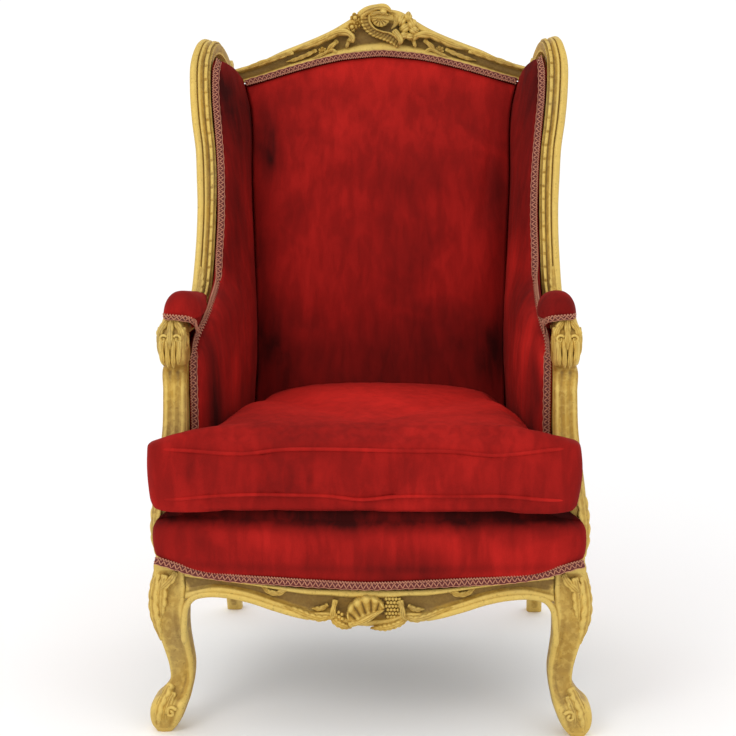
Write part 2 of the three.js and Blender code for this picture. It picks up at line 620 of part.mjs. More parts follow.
// ---- Braid ----------------------------------------------------------------------------------
// Flat braid along a path. Each stop gives a point, the direction out of the cloth and a half-width.
function braid(stops) {
  const half = GIMP_WIDTH / 2;
  return loft(stops.map(({ at, out, along }) => {
    const across = V().crossVectors(out, along).normalize();
    return [[-half, 0], [half, 0], [half * 0.8, GIMP_THICK], [-half * 0.8, GIMP_THICK]]
      .map(([a, h]) => at.clone().addScaledVector(across, a).addScaledVector(out, h));
  }));
}

function braidOn(points, outward) {
  const curve = new THREE.CatmullRomCurve3(points);
  const steps = points.length - 1;
  return braid(range(steps + 1, (i) => {
    const t = i / steps;
    return { at: curve.getPoint(t), out: outward(t).normalize(), along: curve.getTangent(t) };
  }));
}

function seatBraid() {
  const stations = [-342, -320, -280, -220, -150, -75, 0, 75, 150, 220, 280, 320, 342];
  return braidOn(stations.map((x) => {
    const front = smooth(RAIL_FRONT, Math.min(299, Math.abs(x))) - 2.5 - ease((Math.abs(x) - 290) / 12) * 2;
    return V(x, front, smooth(DECK_LOW, Math.abs(x)) - 8);
  }), () => V(0, -1, 0));
}

function seatSideBraid() {
  const points = range(6, (i) => V(mix(350.6, 327, i / 5), mix(58, 440, i / 5), mix(290, 288, i / 5)));
  return braidOn(points, () => V(1, 0.06, 0));
}

function crestBraid() {
  const points = range(11, (i) => {
    const x = mix(-256, 256, i / 10);
    const z = smooth(CREST_LOW, Math.abs(x)) - 1;
    return V(x, backFace(z) + crestBow(x) - 5.6, z);
  });
  return braidOn(points, () => V(0, -1, RAKE));
}

function wingBraid() {
  const points = range(PAD_FRONT.length, (n) => {
    const { x, y, z } = padPoint(n / (PAD_FRONT.length - 1), 0);
    const next = padPoint(Math.min(1, (n + 0.5) / (PAD_FRONT.length - 1)), 0);
    const last = padPoint(Math.max(0, (n - 0.5) / (PAD_FRONT.length - 1)), 0);
    const run = V(0, next.y - last.y, next.z - last.z).normalize();
    return V(x, y - run.z * 0.8, z + run.y * 0.8);
  }).slice(1);
  const curve = new THREE.CatmullRomCurve3(points);
  return braidOn(points, (t) => {
    const run = curve.getTangent(Math.min(0.999, Math.max(0.001, t)));
    return V(-0.1, -run.z, run.y);
  });
}

// ---- Assembly -------------------------------------------------------------------------------
const chair = new THREE.Group();

function add(name, geometry, finish) {
  const mesh = new THREE.Mesh(geometry, new THREE.MeshStandardMaterial(finish));
  mesh.name = name;
  chair.add(mesh);
}

function addPair(name, geometry, finish) {
  add(`${name}_right`, geometry, finish);
  add(`${name}_left`, mirrored(geometry), finish);
}

addPair("front_leg", frontLeg(), GILT);
addPair("back_leg", backLeg(), GILT);
addPair("arm_frame", armFrame(), GILT);
addPair("wing_frame", wingFrame(), GILT);
addPair("side_rail", sideRail(), GILT);
add("front_rail", frontRail(), GILT);
add("back_rail", backRail(), GILT);
add("crest_rail", crestRail(), GILT);
add("seat_deck", seatDeck(), VELVET);
add("seat_cushion", seatCushion(), VELVET);
add("inside_back", insideBack(), VELVET);
add("outside_back", outsideBack(), VELVET);
addPair("inside_wing", insideWing(), VELVET);
addPair("outside_arm", outsideArm(), VELVET);
addPair("outside_wing", outsideWing(), VELVET);
addPair("arm_pad", armPad(), VELVET);
add("dust_cover", dustCover(), LINEN);
add("braid_seat_front", seatBraid(), BRAID);
addPair("braid_seat_side", seatSideBraid(), BRAID);
add("braid_crest", crestBraid(), BRAID);
addPair("braid_wing", wingBraid(), BRAID);

const box = new THREE.Box3().setFromObject(chair);
chair.position.set(-(box.min.x + box.max.x) / 2, -(box.min.y + box.max.y) / 2, -box.min.z);
const throne = new THREE.Group();
throne.add(chair);
throne.updateMatrixWorld(true);

export default throne;
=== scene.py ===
"""A winged throne chair in carved gilt wood and red velvet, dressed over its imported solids.

Lengths are in millimetres in the chair's own axes until a shape becomes a mesh: x runs to the viewer's
right, y runs back from the line of the front feet, and z runs up from the floor.
"""

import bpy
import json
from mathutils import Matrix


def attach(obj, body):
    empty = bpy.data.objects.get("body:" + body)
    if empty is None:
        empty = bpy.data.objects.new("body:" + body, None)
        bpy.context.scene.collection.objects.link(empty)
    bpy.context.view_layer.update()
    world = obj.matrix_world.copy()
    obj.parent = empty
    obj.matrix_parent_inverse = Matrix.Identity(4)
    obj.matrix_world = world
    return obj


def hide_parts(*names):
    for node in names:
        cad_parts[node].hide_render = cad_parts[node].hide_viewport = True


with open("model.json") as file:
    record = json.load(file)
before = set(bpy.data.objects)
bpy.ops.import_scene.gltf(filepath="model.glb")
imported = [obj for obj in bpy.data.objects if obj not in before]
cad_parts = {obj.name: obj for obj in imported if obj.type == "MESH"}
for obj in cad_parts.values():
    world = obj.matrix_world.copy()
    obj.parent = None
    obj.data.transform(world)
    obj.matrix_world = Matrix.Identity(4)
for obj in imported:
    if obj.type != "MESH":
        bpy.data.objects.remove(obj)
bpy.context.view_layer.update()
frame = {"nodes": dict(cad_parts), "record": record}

import json
import logging
from dataclasses import dataclass, field
from enum import Enum
from typing import Any, Callable, Sequence

import bpy
import numpy as np
from mathutils import Matrix, Vector
from mathutils.bvhtree import BVHTree

LOG = logging.getLogger("throne")
MM = 0.001
FOOT_SETBACK = 3.0  # the middle of a front foot lies this far in front of the line y = 0
Array = np.ndarray


def mount_position(name: str) -> Vector:
    """Give the position of one of the record's mounts, in metres.

    Args:
        name: the mount's name.

    Returns:
        The mount's point.
    """
    return Vector(next(m["pos_m"] for m in frame["record"]["mounts"] if m["name"] == name))


ORIGIN_Y = mount_position("foot_front_right").y / MM + FOOT_SETBACK


class Slot(Enum):
    """The record's material slots."""

    GILT = "gilt_wood"
    VELVET = "red_velvet"
    BRAID = "gimp_braid"
    LINING = "dust_cloth"


# ---- Numbers and curves ----------------------------------------------------------------------
def mix(a: Any, b: Any, t: Any) -> Any:
    """Blend from a to b: a + (b - a) t."""
    return a + (b - a) * t


def ease(t: Any) -> Array:
    """Smooth step from 0 to 1: 3 t^2 - 2 t^3, held at both ends."""
    k = np.clip(t, 0.0, 1.0)
    return k * k * (3 - 2 * k)


def bump(t: Any, middle: float, width: float) -> Array:
    """Bell curve: e to the power of minus ((t - middle) / width) squared."""
    return np.exp(-(((np.asarray(t, float) - middle) / width) ** 2))


def unit(v: Array) -> Array:
    """Vectors scaled to length one along the last axis."""
    return v / np.maximum(np.linalg.norm(v, axis=-1, keepdims=True), 1e-9)


def ripple(points: Array, seed: int, pitch: float) -> Array:
    """Smooth uneven field in -1..1: the mean of six sine waves in fixed pseudo-random directions.

    Args:
        points: positions, with x, y and z on the last axis.
        seed: picks the set of waves.
        pitch: rough distance between crests.

    Returns:
        One value for each position.
    """
    rng = np.random.default_rng(seed)
    ways = unit(rng.normal(size=(6, 3))) * rng.uniform(0.6, 1.5, (6, 1)) * 2 * np.pi / pitch
    return np.sin(points @ ways.T + rng.uniform(0, 6.28, 6)).mean(axis=-1) * 1.8


@dataclass(frozen=True)
class Stops:
    """A smooth curve through (position, value) pairs, in cubic pieces with averaged slopes."""

    pairs: tuple[tuple[float, float], ...]

    def __call__(self, t: Any) -> Array:
        """Value of the curve at t, held beyond its ends."""
        x, y = np.array(self.pairs, float).T
        steep = np.diff(y) / np.diff(x)
        slope = np.concatenate((steep[:1], (steep[1:] + steep[:-1]) / 2, steep[-1:]))
        t = np.asarray(t, float)
        k = np.clip(np.searchsorted(x, t) - 1, 0, len(x) - 2)
        span = x[k + 1] - x[k]
        s = np.clip((t - x[k]) / span, 0, 1)
        rise = (slope[k] * (s**3 - 2 * s**2 + s) + slope[k + 1] * (s**3 - s**2)) * span
        return y[k] * (2 * s**3 - 3 * s**2 + 1) + y[k + 1] * (3 * s**2 - 2 * s**3) + rise


@dataclass(frozen=True)
class Track:
    """A smooth curve in space through points, measured by its chord length from 0 to 1."""

    stops: tuple[tuple[float, ...], ...]

    def __call__(self, t: Any) -> Array:
        """Points at t, with the coordinates on the last axis."""
        p = np.array(self.stops, float)
        along = np.concatenate(([0.0], np.cumsum(np.linalg.norm(np.diff(p, axis=0), axis=1))))
        along /= along[-1]
        columns = [Stops(tuple(zip(along, p[:, k])))(t) for k in range(p.shape[1])]
        return np.stack(columns, axis=-1)

    def along(self, t: Array) -> Array:
        """Unit direction of travel at t, from the difference across a short step."""
        step = 1e-3
        return unit(self(np.clip(t + step, 0, 1)) - self(np.clip(t - step, 0, 1)))


# ---- Shapes ----------------------------------------------------------------------------------
@dataclass
class Shape:
    """A closed surface: points in millimetres, four-sided and three-sided faces, and a map in millimetres."""

    points: Array
    quads: Array
    tris: Array
    uv: Array

    def mirrored(self) -> "Shape":
        """The same shape on the other side of the chair, with its faces turned outwards again."""
        flip = np.array([-1.0, 1.0, 1.0])
        return Shape(self.points * flip, self.quads[:, ::-1], self.tris[:, ::-1], self.uv)

    def outward(self) -> "Shape":
        """The same shape with its faces turned so that the volume they enclose is positive."""
        fans = np.concatenate((self.quads[:, [0, 1, 2]], self.quads[:, [0, 2, 3]], self.tris))
        a, b, c = (self.points[fans[:, k]] for k in range(3))
        if np.einsum("ij,ij->", a, np.cross(b, c)) >= 0:
            return self
        return Shape(self.points, self.quads[:, ::-1], self.tris[:, ::-1], self.uv)


def joined(shapes: Sequence[Shape]) -> Shape:
    """Put shapes together as one, without merging them."""
    starts = np.cumsum([0] + [len(s.points) for s in shapes[:-1]])
    return Shape(
        np.concatenate([s.points for s in shapes]),
        np.concatenate([s.quads + n for s, n in zip(shapes, starts)]),
        np.concatenate([s.tris + n for s, n in zip(shapes, starts)]),
        np.concatenate([s.uv for s in shapes]),
    )


def grid_map(points: Array) -> Array:
    """Map of a grid in millimetres: the mean length run along each of its two directions."""
    down = np.linalg.norm(np.diff(points, axis=0), axis=-1).mean(axis=1)
    over = np.linalg.norm(np.diff(points, axis=1), axis=-1).mean(axis=0)
    v = np.concatenate(([0.0], np.cumsum(down)))
    u = np.concatenate(([0.0], np.cumsum(over)))
    return np.stack(np.meshgrid(u, v), axis=-1)


def loft(rings: Array) -> Shape:
    """Close a row of rings into a solid: quads between rings, and a fan over each end ring.

    Args:
        rings: points shaped (ring, point on ring, 3).

    Returns:
        The closed shape, facing outwards.
    """
    n, m, _ = rings.shape
    start = (np.arange(n - 1) * m)[:, None]
    here = np.arange(m)[None, :]
    after = (here + 1) % m
    quads = np.stack((start + here, start + after, start + m + after, start + m + here), -1).reshape(-1, 4)
    middles = rings[[0, -1]].mean(axis=1)
    last = (n - 1) * m
    first_fan = np.stack((np.full(m, n * m), after[0], here[0]), -1)
    last_fan = np.stack((np.full(m, n * m + 1), last + here[0], last + after[0]), -1)
    uv = np.concatenate((grid_map(rings).reshape(-1, 2), np.zeros((2, 2))))
    points = np.concatenate((rings.reshape(-1, 3), middles))
    return Shape(points, quads, np.concatenate((first_fan, last_fan)), uv).outward()


def slab(face: Array, back: Array) -> Shape:
    """Close two surfaces over the same grid into a solid, with a rim of quads between their borders.

    Args:
        face: points of the front surface, shaped (row, column, 3).
        back: points of the back surface, in the same order.

    Returns:
        The closed shape, facing outwards.
    """
    n, m, _ = face.shape
    index = np.arange(n * m).reshape(n, m)
    front = np.stack((index[:-1, :-1], index[:-1, 1:], index[1:, 1:], index[1:, :-1]), -1).reshape(-1, 4)
    rear = front[:, ::-1] + n * m
    loop = np.concatenate((index[0, :-1], index[:-1, -1], index[-1, :0:-1], index[:0:-1, 0]))
    turn = np.roll(loop, -1)
    rim = np.stack((loop, loop + n * m, turn + n * m, turn), -1)
    uv = np.concatenate((grid_map(face).reshape(-1, 2), grid_map(back).reshape(-1, 2)))
    points = np.concatenate((face.reshape(-1, 3), back.reshape(-1, 3)))
    return Shape(points, np.concatenate((front, rear, rim)), np.zeros((0, 3), int), uv).outward()


def superellipse(sides: int, power: float, offset: float = 0.0) -> tuple[Array, Array]:
    """Rounded square of half-width one: each point's distance makes |x|^p + |y|^p equal one."""
    angle = (np.arange(sides) + offset) / sides * 2 * np.pi
    c, s = np.cos(angle), np.sin(angle)
    reach = (np.abs(c) ** power + np.abs(s) ** power) ** (-1 / power)
    return c * reach, s * reach


def tube(track: Track, steps: int, radius: Callable[[Array], Array], facing: Array, flat: float = 1.0,
         sides: int = 12) -> Shape:
    """Sweep an ellipse along a track: across the track by the radius, and out by the radius times flat."""
    t = np.linspace(0, 1, steps)
    along = track.along(t)
    across = unit(np.cross(facing, along))
    out = np.cross(along, across)
    angle = np.arange(sides) / sides * 2 * np.pi
    size = radius(t)[:, None, None]
    ring = np.cos(angle)[None, :, None] * across[:, None] + flat * np.sin(angle)[None, :,
                                                                                 None] * out[:, None]
    return loft(track(t)[:, None] + ring * size)


# ---- Carving ---------------------------------------------------------------------------------
@dataclass(frozen=True)
class Leaf:
    """A carved acanthus blade with lobes, a middle rib and hollows that sweep from the rib to each lobe."""

    stops: tuple[tuple[float, float, float], ...]
    width: float
    thick: float
    facing: tuple[float, float, float] = (0.0, -1.0, 0.2)
    lobes: int = 4
    curl: float = 0.0
    root: float = 0.35

    def shape(self) -> Shape:
        """Blade over (u, v): half-width from a sine bell cut into lobes, height from a rib and swept flutes."""
        rows, columns = 14 + 7 * self.lobes, 15
        u = np.linspace(0, 1, rows)[:, None]
        v = np.linspace(-1, 1, columns)[None, :]
        track = Track(self.stops)
        at, along = track(u[:, 0]), track.along(u[:, 0])
        across = unit(np.cross(np.array(self.facing), along))
        out = unit(np.cross(along, across))
        bell = self.root * (1 - u) + np.sin(np.pi * np.clip(0.06 + 0.93 * u, 0, 1)) ** 0.75
        sweep = u * self.lobes - 0.55 * np.abs(v)
        tooth = np.abs(np.sin(np.pi * sweep))
        half = self.width / 2 * np.minimum(bell, 1.05) * (1 - 0.3 * (1 - tooth**0.7) * np.abs(v) ** 2)
        dome = np.sqrt(np.clip(1 - 0.92 * v**2, 0, 1))
        flutes = 0.26 * (tooth**0.6 - 0.6) * np.abs(v) ** 0.5 * (1 - 0.5 * np.abs(v))
        rib = 0.2 * bump(v, 0, 0.13) - 0.12 * bump(np.abs(v), 0.26, 0.1)
        tip = np.sin(np.pi * np.clip(0.1 + 0.88 * u, 0, 1)) ** 0.5
        high = self.thick * ((dome + flutes + rib) * mix(0.5, 1, tip)) + self.curl * ease((u - 0.7) / 0.3)
        face = at[:, None] + across[:, None] * (half * v)[..., None] + out[:, None] * high[..., None]
        sunk = -0.8 * self.thick + self.curl * 0.6 * ease((u - 0.7) / 0.3)
        back = at[:, None] + across[:, None] * (0.9 * half * v)[..., None] + out[:,
                                                                                 None] * (sunk + 0 * high)[..., None]
        return slab(face, back)


@dataclass(frozen=True)
class Volute:
    """A carved scroll: a tapering roll on a spiral in the plane across its facing direction."""

    centre: tuple[float, float, float]
    radius: float
    turns: float
    start: float
    roll: float
    facing: tuple[float, float, float] = (0.0, -1.0, 0.0)

    def shape(self) -> Shape:
        """Spiral whose radius falls evenly with its angle, ending in a small eye."""
        out = unit(np.array(self.facing, float))
        right = unit(np.cross(out, np.array([0.0, 0.0, 1.0])))
        up = np.cross(right, out)
        steps = int(60 * abs(self.turns)) + 8
        t = np.linspace(0, 1, steps)
        angle = self.start + 2 * np.pi * self.turns * t
        reach = self.radius * mix(1.0, 0.16, t)
        at = (np.array(self.centre) + (np.cos(angle) * reach)[:, None] * right
              + (np.sin(angle) * reach)[:, None] * up + (self.roll * 0.7 * t)[:, None] * out)
        roll = lambda k: self.roll * mix(1.0, 0.55, k) * (1 + 0.5 * bump(k, 1,
                                                                         0.08)) * ease((k + 0.02) / 0.05)
        return tube(Track(tuple(map(tuple, at[::2]))), steps, roll, out, 1.1, 10)


def rosette(centre: Array, radius: float, petals: int, lift: float, facing: Array,
            turn: float = 0.0) -> Shape:
    """Flower over (reach, angle): petals from a cosine of the angle, hollowed, round a raised eye."""
    out = unit(np.asarray(facing, float))
    right = unit(np.cross(out, np.array([0.0, 0.0, 1.0])))
    up = np.cross(right, out)
    angle = np.linspace(0, 2 * np.pi, petals * 14 + 1)[None, :-1] + turn
    r = np.linspace(0.02, 1, 26)[:, None]
    lobe = np.abs(np.cos(petals * (angle - turn) / 2)) ** 0.55
    reach = radius * r * mix(1, 0.66 + 0.34 * lobe, ease(r * 1.4))
    cup = Stops(((0, 0.95), (0.16, 0.9), (0.27, 0.42), (0.55, 0.66), (0.85, 0.92), (1, 0.5)))(r)
    high = lift * cup * mix(1, 0.55 + 0.45 * lobe, ease((r - 0.2) / 0.2))
    flat = np.stack(((np.cos(angle) * reach), (np.sin(angle) * reach), high + 0 * angle), -1)
    rings = np.concatenate((flat, flat[-1:] * [1, 1, 0] - [0, 0, lift * 0.7]))
    placed = np.asarray(centre) + rings[..., :1] * right + rings[..., 1:2] * up + rings[..., 2:] * out
    return loft(placed)


def pearl(centre: Sequence[float], radius: float) -> Shape:
    """Small ball: rings of latitude from pole to pole."""
    lat = np.linspace(0.08, np.pi - 0.08, 9)[:, None]
    lon = (np.arange(12) / 12 * 2 * np.pi)[None, :]
    ball = np.stack((np.sin(lat) * np.cos(lon), np.sin(lat) * np.sin(lon), np.cos(lat) + 0 * lon), -1)
    return loft(np.asarray(centre) + radius * ball)


# ---- Shader nodes ----------------------------------------------------------------------------
class Value:
    """A node output on which Python's arithmetic adds Math nodes."""

    def __init__(self, graph: "Graph", socket: bpy.types.NodeSocket) -> None:
        """Wrap a socket of a graph."""
        self.graph = graph
        self.socket = socket

    def _math(self, operation: str, a: Any, b: Any, clamp: bool = False) -> "Value":
        """Add one Math node and return its output."""
        return self.graph.node("ShaderNodeMath", {"operation": operation, "use_clamp": clamp}, {0: a, 1: b})

    def __add__(self, other: Any) -> "Value":
        """Sum."""
        return self._math("ADD", self, other)

    def __radd__(self, other: Any) -> "Value":
        """Sum, reflected."""
        return self._math("ADD", other, self)

    def __sub__(self, other: Any) -> "Value":
        """Difference."""
        return self._math("SUBTRACT", self, other)

    def __rsub__(self, other: Any) -> "Value":
        """Difference, reflected."""
        return self._math("SUBTRACT", other, self)

    def __mul__(self, other: Any) -> "Value":
        """Product."""
        return self._math("MULTIPLY", self, other)

    def __rmul__(self, other: Any) -> "Value":
        """Product, reflected."""
        return self._math("MULTIPLY", other, self)

    def clamped(self) -> "Value":
        """The same value, held between 0 and 1."""
        return self._math("MULTIPLY", self, 1.0, clamp=True)


class Graph:
    """The node tree of one material."""

    def __init__(self, name: str) -> None:
        """Make a material with one Principled shader."""
        self.material = bpy.data.materials.new(name)
        self.material.use_nodes = True
        self.tree = self.material.node_tree
        self.tree.nodes.clear()
        self.shader = self.tree.nodes.new("ShaderNodeBsdfPrincipled")
        output = self.tree.nodes.new("ShaderNodeOutputMaterial")
        self.tree.links.new(self.shader.outputs[0], output.inputs["Surface"])

    def node(self, kind: str, settings: dict[str, Any], inputs: dict[Any, Any], output: Any = 0) -> Value:
        """Add a node.

        Args:
            kind: the node's type.
            settings: properties that are set first; "stops" sets a ramp's stops.
            inputs: socket name or number to a value or a link.
            output: name or number of the output to return.

        Returns:
            The chosen output.
        """
        node = self.tree.nodes.new(kind)
        for key, value in settings.items():
            if key == "stops":
                self._ramp(node.color_ramp, value)
            else:
                setattr(node, key, value)
        for key, value in inputs.items():
            self.feed(node.inputs[key], value)
        return Value(self, node.outputs[output])

    def _ramp(self, ramp: bpy.types.ColorRamp, stops: Sequence[tuple[float, tuple[float, ...]]]) -> None:
        """Set the stops of a colour ramp."""
        while len(ramp.elements) < len(stops):
            ramp.elements.new(1.0)
        for element, (position, colour) in zip(ramp.elements, stops):
            element.position = position
            element.color = colour

    def feed(self, socket: bpy.types.NodeSocket, value: Any) -> None:
        """Link a value to a socket, or set the socket to a constant."""
        if isinstance(value, Value):
            self.tree.links.new(value.socket, socket)
        else:
            socket.default_value = value

    def set(self, **inputs: Any) -> None:
        """Feed the shader's sockets, named with _ for a space."""
        for key, value in inputs.items():
            self.feed(self.shader.inputs[key.replace("_", " ")], value)

    def place(self) -> Value:
        """Object coordinates."""
        return self.node("ShaderNodeTexCoord", {}, {}, "Object")

    def surface_map(self) -> Value:
        """The piece's own map, in metres."""
        return self.node("ShaderNodeUVMap", {"uv_map": "Surface"}, {})

    def attribute(self, name: str) -> Value:
        """A value stored on the mesh."""
        return self.node("ShaderNodeAttribute", {"attribute_name": name}, {}, "Fac")

    def noise(self, at: Value, scale: float, detail: float = 3.0, warp: float = 0.0) -> Value:
        """Noise value in 0..1."""
        inputs = {"Vector": at, "Scale": scale, "Detail": detail, "Distortion": warp}
        return self.node("ShaderNodeTexNoise", {}, inputs, "Fac")

    def remap(self, value: Value, low: float, high: float) -> Value:
        """Stretch low..high to 0..1, smoothly and with held ends."""
        return self.node("ShaderNodeMapRange", {"interpolation_type": "SMOOTHSTEP"},
                         {"Value": value, "From Min": low, "From Max": high})

    def blend(self, factor: Any, a: Any, b: Any, mode: str = "MIX") -> Value:
        """Mix two colours."""
        settings = {"data_type": "RGBA", "blend_type": mode}
        return self.node("ShaderNodeMix", settings, {0: factor, 6: a, 7: b}, 2)

    def bump(self, height: Value, strength: float, distance: float) -> Value:
        """Normal from a height."""
        return self.node("ShaderNodeBump", {}, {"Height": height, "Strength": strength,
                                                "Distance": distance})


Colour = tuple[float, float, float, float]


@dataclass(frozen=True)
class Gilding:
    """Rubbed gold on carved wood: warm yellow leaf, brown patina in the hollows, pale worn ridges."""

    name: str = "gilding_rubbed"
    gold: Colour = (0.52, 0.315, 0.048, 1.0)
    pale: Colour = (0.76, 0.56, 0.15, 1.0)
    deep: Colour = (0.33, 0.185, 0.027, 1.0)
    patina: Colour = (0.150, 0.078, 0.013, 1.0)
    grey: Colour = (0.30, 0.24, 0.12, 1.0)

    def build(self) -> bpy.types.Material:
        """Colour from three noises and the stored relief; the hollows are duller and less metallic."""
        g = Graph(self.name)
        at = g.place()
        relief = g.attribute("relief")
        cloud = g.remap(g.noise(at, 18.0, 5.0, 0.8), 0.25, 0.75)
        stain = g.remap(g.noise(at, 5.0, 3.0, 1.2), 0.45, 0.75)
        speck = g.noise(at, 240.0, 4.0)
        fine = g.noise(at, 900.0, 2.0)
        hollow = (g.remap(relief * -1.0 + 0.5, 0.04, 0.5) * (0.55 + 0.5 * speck)).clamped()
        ridge = g.remap(relief, 0.54, 0.9)
        worn = g.remap(g.noise(at, 110.0, 5.0, 0.5), 0.42, 0.68)
        body = g.blend(cloud, self.deep, self.gold)
        body = g.blend(stain * 0.4, body, self.grey)
        body = g.blend(worn * 0.30, body, self.pale)
        body = g.blend(ridge * 0.6, body, self.pale)
        body = g.blend(hollow, body, self.patina)
        body = g.blend(g.remap(speck, 0.58, 0.74) * 0.45, body, self.patina)
        rough = 0.46 + 0.16 * cloud + 0.2 * hollow + 0.08 * fine
        g.set(Base_Color=body, Metallic=(0.5 - 0.4 * hollow).clamped(), Roughness=rough,
              Normal=g.bump(speck * 0.7 + fine * 0.3, 0.3, 0.0014))
        return g.material


@dataclass(frozen=True)
class Velvet:
    """Cotton velvet: short pile with crushed, darker patches, brighter where the pile is brushed up; the stored tone
    also carries painted shade and painted highlights.
    """

    name: str = "velvet_red"
    base: Colour = (0.265, 0.0068, 0.0050, 1.0)
    light: Colour = (0.62, 0.0180, 0.0130, 1.0)
    dark: Colour = (0.034, 0.0018, 0.0014, 1.0)

    def build(self) -> bpy.types.Material:
        """Colour from the stored pile tone with its painted shade and painted highlights, a cloud of crush marks and
        a fine pile grain; sheen for the pile.
        """
        g = Graph(self.name)
        at = g.place()
        nap_and_painted_light = g.attribute("nap_and_painted_light")
        drawn = g.node("ShaderNodeVectorMath", {"operation": "MULTIPLY"}, {0: at, 1: (1.0, 1.0, 0.22)})
        crush = g.remap(g.noise(at, 9.0, 5.0, 0.8), 0.32, 0.66)
        streak = g.remap(g.noise(drawn, 60.0, 4.0, 0.4), 0.30, 0.70)
        pile = g.noise(at, 1500.0, 2.0)
        # The stored value brings painted shade and painted highlights from the marks into the tone.
        tone = (nap_and_painted_light * 0.86 + crush * 0.12 + streak * 0.13 - 0.07).clamped()
        body = g.node("ShaderNodeValToRGB", {"stops": ((0.0, self.dark), (0.5, self.base),
                                                       (1.0, self.light))},
                      {"Fac": tone})
        body = g.blend(g.remap(pile, 0.35, 0.7) * 0.22, body, self.dark)
        g.set(Base_Color=body, Roughness=0.78 + 0.14 * pile, Normal=g.bump(pile * 0.6 + streak * 0.4, 0.35,
                                                                           0.0009))
        g.set(Sheen_Weight=0.05, Sheen_Roughness=0.38, Sheen_Tint=(1.0, 0.16, 0.12, 1.0),
              Specular_IOR_Level=0.1)
        return g.material


@dataclass(frozen=True)
class BraidThread:
    """Gimp thread: twisted rayon, with fine slanting strands."""

    name: str = "braid_thread_rose"
    light: Colour = (0.66, 0.30, 0.17, 1.0)
    dark: Colour = (0.24, 0.05, 0.03, 1.0)
    sheen: float = 0.1

    def build(self) -> bpy.types.Material:
        """Slanting strands from a wave on the thread's own map, over a slow change of tone."""
        g = Graph(self.name)
        at = g.surface_map()
        strand = g.node("ShaderNodeTexWave", {"wave_type": "BANDS", "bands_direction": "DIAGONAL"},
                        {"Vector": at, "Scale": 260.0, "Distortion": 0.6}, "Fac")
        slow = g.noise(g.place(), 60.0, 2.0)
        body = g.blend((strand * 0.7 + slow * 0.4).clamped(), self.dark, self.light)
        g.set(Base_Color=body, Roughness=0.5 + 0.2 * slow, Normal=g.bump(strand, 0.5, 0.0006))
        g.set(Sheen_Weight=self.sheen, Sheen_Roughness=0.4)
        return g.material


@dataclass(frozen=True)
class Lining:
    """Plain black woven lining."""

    name: str = "lining_black"
    base: Colour = (0.018, 0.017, 0.016, 1.0)
    thread: Colour = (0.05, 0.048, 0.045, 1.0)

    def build(self) -> bpy.types.Material:
        """Crossed waves for the weave, on object coordinates."""
        g = Graph(self.name)
        at = g.place()
        wave = {"wave_type": "BANDS", "bands_direction": "X"}
        warp = g.node("ShaderNodeTexWave", wave, {"Vector": at, "Scale": 160.0}, "Fac")
        weft = g.node("ShaderNodeTexWave", dict(wave, bands_direction="Y"), {"Vector": at, "Scale": 160.0},
                      "Fac")
        weave = warp * weft
        g.set(Base_Color=g.blend(weave, self.base, self.thread), Roughness=0.9,
              Normal=g.bump(weave, 0.5, 0.0005))
        return g.material


# ---- Making pieces ---------------------------------------------------------------------------
def to_metres(points: Array) -> Array:
    """Chair millimetres to the frame's metres: shifted along y, then scaled."""
    return (points + np.array([0.0, ORIGIN_Y, 0.0])) * MM


def mesh_from(name: str, shape: Shape) -> bpy.types.Mesh:
    """Put a shape into a mesh, smooth shaded, with its map in metres.

    Args:
        name: the mesh's name.
        shape: the shape, in chair millimetres.

    Returns:
        The new mesh.
    """
    loops = np.concatenate((shape.quads.ravel(), shape.tris.ravel())).astype(np.int32)
    total = np.concatenate((np.full(len(shape.quads), 4), np.full(len(shape.tris), 3))).astype(np.int32)
    start = np.concatenate(([0], np.cumsum(total)[:-1])).astype(np.int32)
    mesh = bpy.data.meshes.new(name)
    mesh.vertices.add(len(shape.points))
    mesh.vertices.foreach_set("co", to_metres(shape.points).ravel().astype(np.float32))
    mesh.loops.add(len(loops))
    mesh.loops.foreach_set("vertex_index", loops)
    mesh.polygons.add(len(total))
    mesh.polygons.foreach_set("loop_start", start)
    mesh.polygons.foreach_set("loop_total", total)
    mesh.polygons.foreach_set("use_smooth", np.ones(len(total), bool))
    layer = mesh.uv_layers.new(name="Surface")
    layer.data.foreach_set("uv", (shape.uv[loops] * MM).ravel().astype(np.float32))
    mesh.update(calc_edges=True)
    mesh.validate()
    return mesh


def read_points(mesh: bpy.types.Mesh) -> Array:
    """Vertex positions of a mesh, in metres."""
    flat = np.empty(len(mesh.vertices) * 3, np.float32)
    mesh.vertices.foreach_get("co", flat)
    return flat.reshape(-1, 3).astype(float)


def write_points(mesh: bpy.types.Mesh, points: Array) -> None:
    """Set the vertex positions of a mesh."""
    mesh.vertices.foreach_set("co", points.ravel().astype(np.float32))
    mesh.update()


def smoothed(mesh: bpy.types.Mesh, values: Array, rounds: int) -> Array:
    """Average values over the mesh: each round moves a vertex halfway to the mean of its neighbours."""
    edges = np.empty(len(mesh.edges) * 2, np.int32)
    mesh.edges.foreach_get("vertices", edges)
    a, b = edges.reshape(-1, 2).T
    count = len(mesh.vertices)
    degree = np.maximum(np.bincount(a, minlength=count) + np.bincount(b, minlength=count), 1)[:, None]
    result = values.copy()
    for _ in range(rounds):
        total = np.stack([np.bincount(a, result[b, k], count) + np.bincount(b, result[a, k], count)
                          for k in range(result.shape[1])], -1)
        result = 0.5 * result + 0.5 * total / degree
    return result


def store_value(mesh: bpy.types.Mesh, name: str, values: Array) -> None:
    """Store one number per vertex."""
    mesh.attributes.new(name, "FLOAT", "POINT").data.foreach_set("value", values.astype(np.float32))


